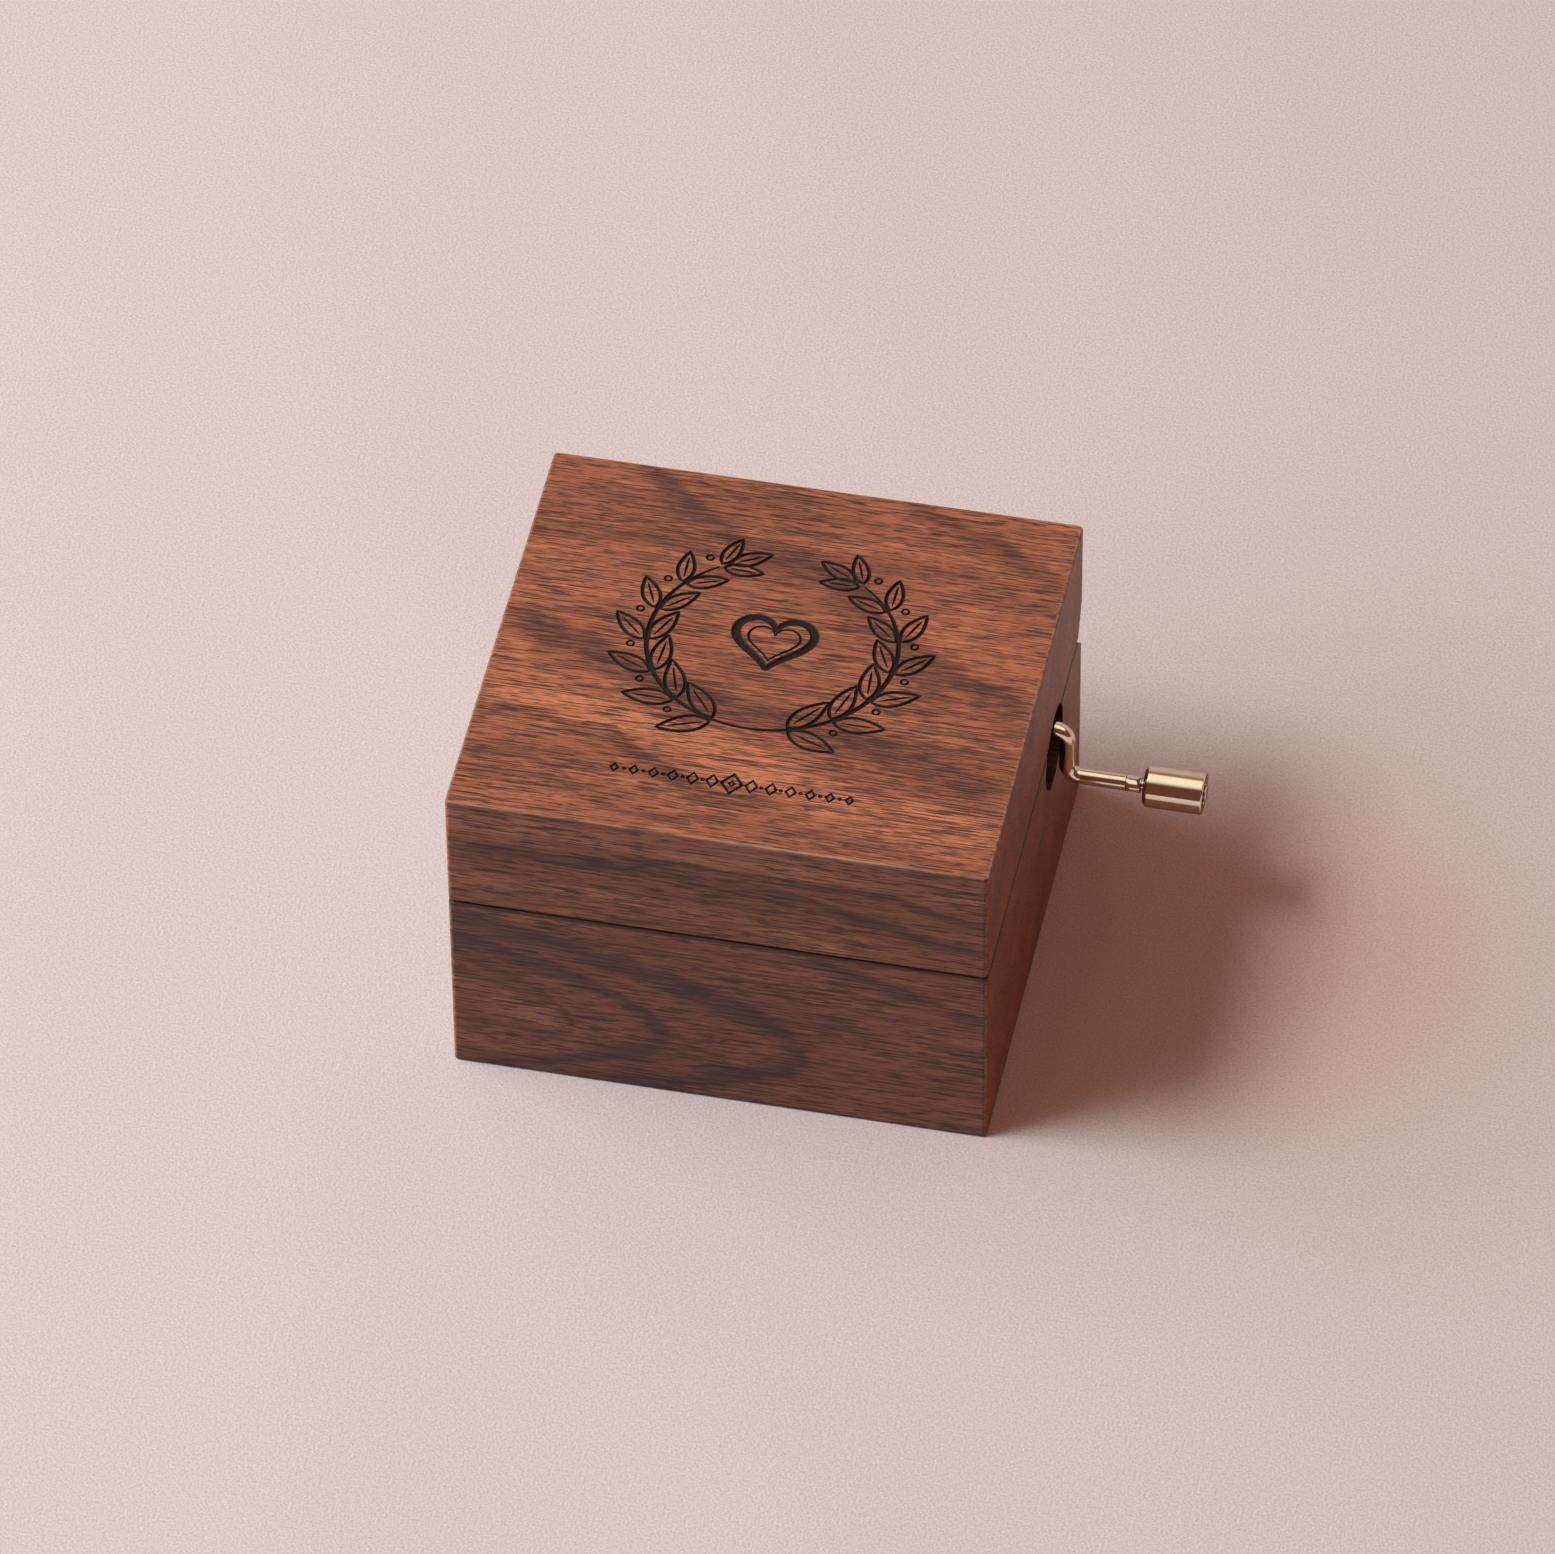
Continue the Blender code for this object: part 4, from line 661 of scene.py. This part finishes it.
def face_gaps(shader, place, low, high):
    """How far a place is from the nearest of the two faces across X, across Y and across Z."""
    gaps = []
    for part, bottom, top in zip(shader.split(place), low / MM, high / MM):
        from_bottom = shader.math("ABSOLUTE", shader.math("SUBTRACT", part, bottom))
        from_top = shader.math("ABSOLUTE", shader.math("SUBTRACT", part, top))
        gaps.append(shader.math("MINIMUM", from_bottom, from_top))
    return gaps


def wear_share(shader, place, low, high, streak):
    """Rubbed edges: strongest along the block's edges, patchy, none at the parting or the foot."""
    a, b, c = face_gaps(shader, place, low, high)
    middle = shader.math(
        "MAXIMUM",
        shader.math("MINIMUM", a, b),
        shader.math("MINIMUM", shader.math("MAXIMUM", a, b), c),
    )
    z = shader.split(place)["Z"]
    off_parting = shader.math("ABSOLUTE", shader.math("SUBTRACT", z, PARTING_HEIGHT))
    return shader.product(
        shader.span(middle, *WEAR_WIDTH),
        shader.span(streak, *WEAR_PATCHES),
        shader.span(off_parting, *WEAR_OFF_PARTING),
        shader.span(z, *WEAR_OFF_FOOT),
    )


def painted_shade_share(shader, place, low, high, is_base):
    """Painted shade on the end grain inside the crank's hole and, on the base, painted shade along
    the edge at the parting and a painted contact shadow along the foot.
    """
    x, y, z = shader.split(place)
    across = shader.math("SUBTRACT", y, BORE_CENTRE[0])
    above = shader.math("SUBTRACT", z, BORE_CENTRE[1])
    squares = shader.math("MULTIPLY_ADD", across, across, shader.math("MULTIPLY", above, above))
    reach = shader.math("SQRT", squares)
    edge = (BORE_RADIUS + gap for gap in BORE_EDGE)
    # Painted shade inside the crank's hole
    dark = shader.product(shader.span(reach, *edge), shader.span(x, *BORE_DEPTH), BORE_PAINTED_SHADE)
    if is_base:
        a, b, _ = face_gaps(shader, place, low, high)
        outside = shader.span(shader.math("MINIMUM", a, b), *SKIN_DEPTH)
        # Painted shade along the base's top edge and a painted contact shadow along its foot
        top = (high.z / MM - gap for gap in TOP_EDGE)
        for edge, shade in ((top, TOP_EDGE_PAINTED_SHADE), (FOOT_EDGE, FOOT_PAINTED_SHADOW)):
            shaded = shader.product(outside, shader.span(z, *edge), shade)
            dark = shader.math("MAXIMUM", dark, shaded)
    return dark


def pore_share(shader, place, dark):
    """Pores as dashes along the grain, in loose crowds and more of them in the dark lines."""
    crowd = shader.grain(place, *CROWD_GRAIN)
    more = shader.math("MULTIPLY_ADD", dark, DARK_CROWD, -CROWD_REACH / 2)
    crowd = shader.math("MULTIPLY_ADD", crowd, CROWD_REACH, more)
    pores = 0.0
    for size, level, strength, away in PORES:
        dash = shader.dashes(shader.shift(place, away), size, level, crowd)
        pores = shader.math("MAXIMUM", pores, shader.product(dash, strength))
    return pores


def walnut(name, node, seed, front_painted_shade, top_lines, top_pale, front_lines, front_pale):
    """Oiled walnut with its grain along X. Growth lines are drawn on the top and on the front."""
    shader = Shader(name)
    place = shader.place()
    x, y, z = shader.split(place)
    fronts = shader.facing("Y")
    low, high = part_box(node)
    is_base = node == "base_box"
    moved = shader.shift(place, seed)

    waver = shader.grain(moved, *WAVER_GRAIN)
    waver = shader.math("MULTIPLY_ADD", waver, 2 * WAVER_REACH, -WAVER_REACH)
    depth = shader.math("SUBTRACT", high.z / MM, z)
    sunk = shader.math("MULTIPLY_ADD", depth, TOP_LEAN, y)
    band = shader.grain(moved, *BAND_GRAIN)
    rings = shader.math("MULTIPLY", sunk, RINGS_PER_MM)
    season = shader.math("FRACT", shader.math("MULTIPLY_ADD", band, RING_BEND, rings))
    late_wood = shader.product(*(shader.span(season, *edge) for edge in LATE_WOOD))
    streak = shader.grain(moved, *STREAK_GRAIN)
    mottle = shader.grain(moved, *MOTTLE_GRAIN)
    fibre = shader.grain(moved, *FIBRE_GRAIN)
    fleck = shader.grain(moved, *FLECK_GRAIN)

    not_front = shader.math("SUBTRACT", 1.0, fronts)
    dark = shader.product(grain_lines(shader, x, sunk, top_lines, waver), not_front)
    pale = shader.product(grain_lines(shader, x, sunk, top_pale, waver), not_front)
    narrow = shader.math("MULTIPLY", waver, FRONT_WAVER)
    front_dark = grain_lines(shader, x, z, front_lines, narrow)
    if is_base:
        front_dark = shader.math("MAXIMUM", front_dark, grain_arcs(shader, x, z, narrow))
    front_light = grain_lines(shader, x, z, front_pale, narrow)
    dark = shader.math("ADD", dark, shader.product(front_dark, fronts))
    pale = shader.math("ADD", pale, shader.product(front_light, fronts))

    broken = shader.product(dark, shader.span(streak, *DARK_BREAKS))
    tone = PLAIN_TONE
    for part, share in (
        (band, BAND_TONE), (streak, STREAK_TONE), (mottle, MOTTLE_TONE),
        (broken, DARK_TONE), (pale, PALE_TONE), (late_wood, LATE_TONE),
    ):
        tone = shader.math("MULTIPLY_ADD", part, share, tone)
    colour = shader.ramp(tone, WALNUT_TONES)
    fibre_colour, fleck_colour = shader.ramp(fibre, FIBRE_TONES), shader.ramp(fleck, FLECK_TONES)
    fine = shader.mix(FLECK_SHARE, fibre_colour, fleck_colour)
    colour = shader.mix(1.0, colour, fine, "MULTIPLY")
    pores = pore_share(shader, moved, dark)
    colour = shader.mix(pores, colour, PORE_COLOUR)
    # Painted shade on the faces across Y
    colour = shader.mix(fronts, colour, shader.mix(1.0, colour, front_painted_shade, "MULTIPLY"))
    colour = shader.mix(wear_share(shader, place, low, high, streak), colour, WORN_COLOUR)
    # Painted shade in the crank's hole and, on the base, at the parting and the foot
    shade = painted_shade_share(shader, place, low, high, is_base)
    colour = shader.mix(shade, colour, PAINTED_SHADE_COLOUR)
    rough = shader.span(fibre, *FIBRE_RANGE, *WALNUT_ROUGHNESS)
    shader.set(base_color=colour, roughness=rough, ior=WALNUT_IOR)
    relief = shader.math("SUBTRACT", shader.math("MULTIPLY", fibre, FIBRE_RELIEF), pores)
    shader.bump(relief, WALNUT_RELIEF, 0.7)
    return shader.material


def charred(surface):
    """Burnt floor and walls of the carved lines, browner towards their upper edge."""
    shader = Shader("charred_walnut")
    place = shader.place()
    soot = shader.noise(place, *SOOT_NOISE)
    height = shader.split(place)["Z"]
    top = surface / MM
    rim = shader.span(height, top - GROOVE_DEPTH * SCORCHED_SHARE, top)
    colour = shader.mix(rim, shader.ramp(soot, SOOT_TONES), SCORCHED_COLOUR)
    shader.set(base_color=colour, roughness=SOOT_ROUGHNESS, specular_ior_level=SOOT_SPECULAR)
    shader.bump(soot, SOOT_RELIEF, 0.7)
    return shader.material


def metal(name, light, dark, roughness, grain, relief=0.004 * MM, spots=0.0, rim=(1.0, 1.0, 1.0)):
    """Bare or plated metal: its colour drifts between two tones and its roughness along a grain.

    The rim colour tints what the metal mirrors at a low angle.
    """
    shader = Shader(name)
    place = shader.place()
    tarnish = shader.noise(place, *TARNISH_NOISE)
    lines = shader.grain(place, grain, *METAL_OCTAVES)
    colour = shader.mix(shader.span(tarnish, *TARNISH_RANGE), light, dark)
    if spots:
        spot = shader.span(shader.noise(place, *SPOT_NOISE), *SPOT_RANGE, 0.0, spots)
        colour = shader.mix(spot, colour, [part * SPOT_DARKENING for part in dark])
    shader.set(base_color=colour, metallic=1.0, specular_tint=(*rim, 1.0))
    shader.set(roughness=shader.span(lines, *METAL_RANGE, *roughness))
    shader.bump(lines, relief, 0.5)
    return shader.material


def copy_of(node):
    """A welded copy of a node's mesh, with its flat faces merged."""
    bm = bmesh.new()
    bm.from_mesh(NODES[node].data)
    bmesh.ops.remove_doubles(bm, verts=bm.verts, dist=WELD)
    bmesh.ops.dissolve_limit(bm, angle_limit=FLAT_ANGLE, verts=bm.verts, edges=bm.edges)
    return bm


def dress(obj, node):
    """The piece stands for its node, rides on its body and is smooth but for its sharp edges."""
    obj.data.shade_smooth()
    obj.data.set_sharp_from_angle(angle=SHARP_ANGLE)
    flat = obj.modifiers.new("Flat faces stay flat", "WEIGHTED_NORMAL")
    flat.keep_sharp = True
    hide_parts(node)
    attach(obj, BODY_OF[node])


def soften(obj, width):
    """A small round on every sharp edge."""
    bevel = obj.modifiers.new("Soft edges", "BEVEL")
    bevel.width = width
    bevel.segments = EDGE_SEGMENTS
    bevel.limit_method = "ANGLE"
    bevel.angle_limit = SHARP_ANGLE


def arc_points(centre, radius, start, end, steps):
    angles = [math.radians(start + (end - start) * i / steps) for i in range(steps + 1)]
    x, y = centre
    return [Vector((x + radius * math.cos(a), y + radius * math.sin(a))) for a in angles]


def heading_of(angle):
    return Vector((math.cos(math.radians(angle)), math.sin(math.radians(angle))))


def widths(count, widest, ends):
    """Stroke widths along a line that swells in its middle and thins to a share at its ends."""
    swell = [math.sin(math.pi * i / (count - 1)) ** 0.7 for i in range(count)]
    return [widest * (ends + (1 - ends) * share) for share in swell]


def wreath_point(angle):
    a = math.radians(angle)
    return WREATH_CENTRE + WREATH_RADIUS * Vector((math.cos(a), WREATH_FLATTEN * math.sin(a)))


def wreath_heading(angle):
    ahead = wreath_point(angle + 1) - wreath_point(angle)
    return math.degrees(math.atan2(ahead.y, ahead.x))


def leaf_strokes(root, direction, size):
    """A pointed leaf as a closed outline and a rib that stops short of its tip."""
    length, width = LEAF_LENGTH * size, LEAF_WIDTH * size
    along = heading_of(direction)
    across = Vector((-along.y, along.x))
    sides = []
    for side in (1, -1):
        points = []
        for i in range(LEAF_STEPS + 1):
            t = i / LEAF_STEPS
            swell = math.sin(math.pi * t ** 0.8) ** 0.9 if 0 < t < 1 else 0.0
            points.append(root + along * length * t + across * side * width / 2 * swell)
        sides.append(points)
    outline = sides[0] + sides[1][-2:0:-1]
    rib = [root + along * length * t for t in RIB_PLACES]
    return [
        (outline, [OUTLINE_WIDTH] * len(outline), True),
        (rib, widths(len(rib), RIB_WIDTH, RIB_ENDS), False),
    ]


def branch_strokes(mirror):
    """One half of the wreath: a curved stem, paired leaves and berries, and a leaf at its tip."""
    flip = -1 if mirror else 1
    start, end = WREATH_START - STEM_LEAD, WREATH_END - STEM_STOP
    stem = [wreath_point(start + (end - start) * i / STEM_STEPS) for i in range(STEM_STEPS + 1)]
    strokes = [(stem, widths(len(stem), STEM_WIDTH, STEM_ENDS), False)]
    first = WREATH_START + FIRST_PAIR_LEAD
    for number in range(LEAF_PAIRS):
        share = number / (LEAF_PAIRS - 1)
        angle = first + (end - first) * share
        for side in (1, -1):
            direction = wreath_heading(angle) + side * LEAF_SPREAD
            root = wreath_point(angle) + heading_of(direction) * LEAF_GAP
            strokes += leaf_strokes(root, direction, 1.0 - LEAF_SHRINK * share)
        if number:
            middle = wreath_point(angle - BERRY_BACK)
            outward = (middle - WREATH_CENTRE).normalized()
            ring = arc_points(middle + outward * BERRY_REACH, BERRY_RADIUS, 0, 330, BERRY_STEPS)
            strokes.append((ring, [RIB_WIDTH] * len(ring), True))
    tip = WREATH_END + TIP_LEAF_LEAD
    strokes += leaf_strokes(wreath_point(tip), wreath_heading(tip), TIP_LEAF_SIZE)
    return [
        ([Vector((flip * point.x, point.y)) for point in points], width, closed)
        for points, width, closed in strokes
    ]


def heart_strokes():
    """A plain heart in the wreath's middle, heavier at its shoulders, with a fine line inside.

    The curve is the well-known heart of sines and cosines, which is 32 units wide.
    """
    strokes = []
    for scale, heavy in HEART_LINES:
        points, thickness = [], []
        for i in range(HEART_POINTS):
            t = 2 * math.pi * (i + 0.5) / HEART_POINTS
            px = 16 * math.sin(t) ** 3
            py = 13 * math.cos(t) - 5 * math.cos(2 * t) - 2 * math.cos(3 * t) - math.cos(4 * t)
            points.append(WREATH_CENTRE + Vector((px, py + 2)) * (HEART_WIDTH / 32 * scale))
            thickness.append(heavy * (0.5 + 0.5 * abs(math.sin(t))))
        strokes.append((points, thickness, True))
    return strokes


def lozenge_stroke(centre, half_width, half_height, thickness):
    corners = [(0, half_height), (half_width, 0), (0, -half_height), (-half_width, 0)]
    return [centre + Vector(corner) for corner in corners], [thickness] * 4, True


def rule_strokes():
    """A dividing rule near the lid's front: lozenges that shrink to both sides, and dots."""
    strokes = [lozenge_stroke(Vector((0, RULE_Y)), *sizes) for sizes in RULE_MIDDLE]
    for side in (1, -1):
        for number in range(1, RULE_COUNT + 1):
            share = number / RULE_COUNT
            centre = Vector((side * RULE_STEP * number, RULE_Y))
            sizes = (size - less * share for size, less in zip(RULE_LOZENGE, RULE_SHRINK))
            strokes.append(lozenge_stroke(centre, *sizes, RULE_LINE))
            dot_centre = centre - Vector((side * RULE_STEP / 2, 0))
            dot = arc_points(dot_centre, DOT_RADIUS, 0, 315, DOT_STEPS)
            strokes.append((dot, [DOT_LINE] * len(dot), True))
    return strokes


def stroke_solid(bm, points, thickness, closed, surface):
    """A groove's cutter: wide above the surface, narrower at its floor."""
    count = len(points)
    rings = []
    for i, point in enumerate(points):
        before = points[i - 1] if closed or i else points[i]
        after = points[(i + 1) % count] if closed or i < count - 1 else points[i]
        ahead = (after - before).normalized()
        across = Vector((-ahead.y, ahead.x))
        half = thickness[i] / 2
        upper = half * (2 - GROOVE_FLOOR)
        lower = half * GROOVE_FLOOR
        ring = []
        for offset, height in ((upper, 1), (-upper, 1), (-lower, -1), (lower, -1)):
            spot = point + across * offset
            z = surface + height * GROOVE_DEPTH * MM
            ring.append(bm.verts.new((spot.x * MM, spot.y * MM, z)))
        rings.append(ring)
    for first, second in zip(rings, rings[1:] + rings[:1] if closed else rings[1:]):
        bridge(bm, first, second)
    if not closed:
        bm.faces.new(rings[0][::-1])
        bm.faces.new(rings[-1])


def bridge(bm, first, second):
    """Faces between two rings of as many points each."""
    count = len(first)
    for k in range(count):
        bm.faces.new((first[k], first[(k + 1) % count], second[(k + 1) % count], second[k]))


def ornament_cutter(surface, wood, burnt):
    bm = bmesh.new()
    strokes = branch_strokes(False) + branch_strokes(True) + heart_strokes() + rule_strokes()
    for points, thickness, closed in strokes:
        stroke_solid(bm, points, thickness, closed, surface)
    bmesh.ops.recalc_face_normals(bm, faces=bm.faces)
    for face in bm.faces:
        face.material_index = 1
    return link_mesh("ornament_cutter", bm, wood, burnt)


def apply_modifiers(obj):
    graph = bpy.context.evaluated_depsgraph_get()
    mesh = bpy.data.meshes.new_from_object(obj.evaluated_get(graph))
    obj.modifiers.clear()
    obj.data = mesh


def add_lid():
    wood = walnut(
        "walnut_of_the_lid", "lid", LID_PLACE, LID_FRONT_PAINTED_SHADE,
        LID_TOP_LINES, LID_TOP_PALE, LID_FRONT_LINES, LID_FRONT_PALE,
    )
    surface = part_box("lid")[1].z
    burnt = charred(surface)
    lid = link_mesh("walnut_lid", copy_of("lid"), wood, burnt)
    cutter = ornament_cutter(surface, wood, burnt)
    carve = lid.modifiers.new("Carving", "BOOLEAN")
    carve.operation = "DIFFERENCE"
    carve.object = cutter
    carve.solver = "EXACT"
    carve.use_self = True
    apply_modifiers(lid)
    bpy.data.objects.remove(cutter, do_unlink=True)
    dress(lid, "lid")


def add_base():
    wood = walnut(
        "walnut_of_the_base", "base_box", BASE_PLACE, BASE_FRONT_PAINTED_SHADE,
        (), (), BASE_FRONT_LINES, BASE_FRONT_PALE,
    )
    dress(link_mesh("walnut_base", copy_of("base_box"), wood), "base_box")


def crank_route():
    """The crank's wire as (x, z, half width, half height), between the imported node's ends."""
    low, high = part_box("crank")
    knob_low, knob_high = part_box("crank_knob")
    handle_z = (knob_low.z + knob_high.z) / 2
    shaft_z = high.z - WIRE_RADIUS
    arm_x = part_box("base_box")[1].x + ARM_CLEARANCE + WIRE_RADIUS
    pinch_end = knob_low.x - KNOB_PLAY
    pinch_start = pinch_end - PINCH_LENGTH
    head_start = knob_high.x - KNOB_RECESS_DEPTH + SIDE_PLAY
    shaft_centre = (arm_x - SHAFT_BEND_RADIUS, shaft_z - SHAFT_BEND_RADIUS)
    handle_centre = (arm_x + HANDLE_BEND_RADIUS, handle_z + HANDLE_BEND_RADIUS)
    bends = arc_points(shaft_centre, SHAFT_BEND_RADIUS, 90, 0, BEND_STEPS)
    bends += arc_points(handle_centre, HANDLE_BEND_RADIUS, 180, 270, BEND_STEPS)
    step = ROUTE_STEP
    route = [
        (low.x, shaft_z, 0.85 * WIRE_RADIUS, 0.85 * WIRE_RADIUS),
        (low.x + 4 * step, shaft_z, WIRE_RADIUS, WIRE_RADIUS),
    ]
    route += [(point.x, point.y, WIRE_RADIUS, WIRE_RADIUS) for point in bends]
    route += [(x, handle_z, wide, tall) for x, wide, tall in (
        (pinch_start - 2 * step, WIRE_RADIUS, WIRE_RADIUS),
        (pinch_start, 1.06 * WIRE_RADIUS, 1.06 * WIRE_RADIUS),
        (pinch_start + 2 * step, 1.08 * WIRE_RADIUS, WIRE_RADIUS),
        (pinch_start + 7 * step, PINCH_WIDE, PINCH_THIN),
        (pinch_end - 7 * step, PINCH_WIDE, PINCH_THIN),
        (pinch_end - 2 * step, 1.08 * WIRE_RADIUS, WIRE_RADIUS),
        (pinch_end, WIRE_RADIUS, WIRE_RADIUS),
        (pinch_end + step, KNOB_PIN_RADIUS, KNOB_PIN_RADIUS),
        (head_start, KNOB_PIN_RADIUS, KNOB_PIN_RADIUS),
        (head_start + step, 0.97 * WIRE_RADIUS, 0.97 * WIRE_RADIUS),
        (high.x - 2 * step, WIRE_RADIUS, WIRE_RADIUS),
        (high.x - step / 2, 0.90 * WIRE_RADIUS, 0.90 * WIRE_RADIUS),
        (high.x, 0.55 * WIRE_RADIUS, 0.55 * WIRE_RADIUS),
    )]
    return route


def sweep(name, route, y, sides, material):
    """A bar along points of the XZ plane, with its own half width and half height at each."""
    bm = bmesh.new()
    side = Vector((0, 1, 0))
    angles = [2 * math.pi * k / sides for k in range(sides)]
    rings = []
    for i, (x, z, wide, tall) in enumerate(route):
        before, after = route[max(i - 1, 0)], route[min(i + 1, len(route) - 1)]
        ahead = Vector((after[0] - before[0], 0, after[1] - before[1])).normalized()
        up = ahead.cross(side)
        middle = Vector((x, y, z))
        rings.append([
            bm.verts.new(middle + wide * math.cos(a) * side + tall * math.sin(a) * up)
            for a in angles
        ])
    for first, second in zip(rings, rings[1:]):
        bridge(bm, first, second)
    bm.faces.new(rings[0][::-1])
    bm.faces.new(rings[-1])
    bmesh.ops.recalc_face_normals(bm, faces=bm.faces)
    return link_mesh(name, bm, material)


def lathe(name, profile, axis_point, sides, material):
    """A shape turned about a line along X. The profile is closed, as (x, radius) points."""
    bm = bmesh.new()
    y, z = axis_point
    rings = []
    for k in range(sides):
        a = 2 * math.pi * k / sides
        ring = [bm.verts.new((x, y + r * math.cos(a), z + r * math.sin(a))) for x, r in profile]
        rings.append(ring)
    for first, second in zip(rings, rings[1:] + rings[:1]):
        bridge(bm, first, second)
    bmesh.ops.recalc_face_normals(bm, faces=bm.faces)
    return link_mesh(name, bm, material)


def rounded_profile(points, steps=4):
    """The closed outline of (x, radius, rounding) points, with a small arc for each corner."""
    made = []
    places = [Vector(point[:2]) for point in points]
    for i, corner in enumerate(places):
        back = places[i - 1] - corner
        ahead = places[(i + 1) % len(places)] - corner
        cut = min(points[i][2], back.length / 3, ahead.length / 3)
        start, end = corner + back.normalized() * cut, corner + ahead.normalized() * cut
        for k in range(steps + 1):
            t = k / steps
            made.append(tuple((1 - t) ** 2 * start + 2 * t * (1 - t) * corner + t ** 2 * end))
    return made


def add_crank(plating):
    low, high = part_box("crank_knob")
    axis = ((low.y + high.y) / 2, (low.z + high.z) / 2)
    dress(sweep("crank_wire", crank_route(), axis[0], WIRE_SIDES, plating), "crank")
    bore = KNOB_PIN_RADIUS + RUN_CLEARANCE
    outer = (high.z - low.z) / 2
    profile = rounded_profile([
        (low.x, bore, KNOB_CRISP_EDGE),
        (low.x, outer - KNOB_INNER_CHAMFER, KNOB_SOFT_EDGE),
        (low.x + KNOB_INNER_CHAMFER, outer, KNOB_SOFT_EDGE),
        (high.x - KNOB_OUTER_CHAMFER, outer, KNOB_CRISP_EDGE),
        (high.x, outer - KNOB_OUTER_CHAMFER, KNOB_CRISP_EDGE),
        (high.x, KNOB_RECESS_RADIUS, KNOB_CRISP_EDGE),
        (high.x - KNOB_RECESS_DEPTH, KNOB_RECESS_RADIUS, KNOB_CRISP_EDGE),
        (high.x - KNOB_RECESS_DEPTH, bore, KNOB_CRISP_EDGE),
    ])
    dress(lathe("crank_sleeve", profile, axis, KNOB_SIDES, plating), "crank_knob")


def add_movement(metals):
    for node in sorted(NODES):
        if node in ("lid", "base_box", "crank", "crank_knob"):
            continue
        piece = link_mesh(f"{node}_finished", copy_of(node), metals[SLOT_OF[node]])
        width = FINE_EDGES.get(node, EDGE_ROUND)
        if width:
            soften(piece, width)
        dress(piece, node)


def corners(pair):
    return [list(corner) for corner in pair]


bpy.context.scene.view_settings.view_transform = "Standard"
add_camera()
area_lamp("key_lamp", KEY_DIRECTION, KEY_SIZE, KEY_POWER, KEY_COLOUR)
area_lamp("window_light", WINDOW_DIRECTION, WINDOW_SIZE, WINDOW_POWER, WINDOW_COLOUR)
add_room()
add_floor()
METALS = {slot: metal(**look) for slot, look in METAL_LOOKS.items()}
add_lid()
add_base()
add_crank(METALS["plated_wire"])
add_movement(METALS)
{"cad": corners(CAD_BOX), "visual": corners(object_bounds())}
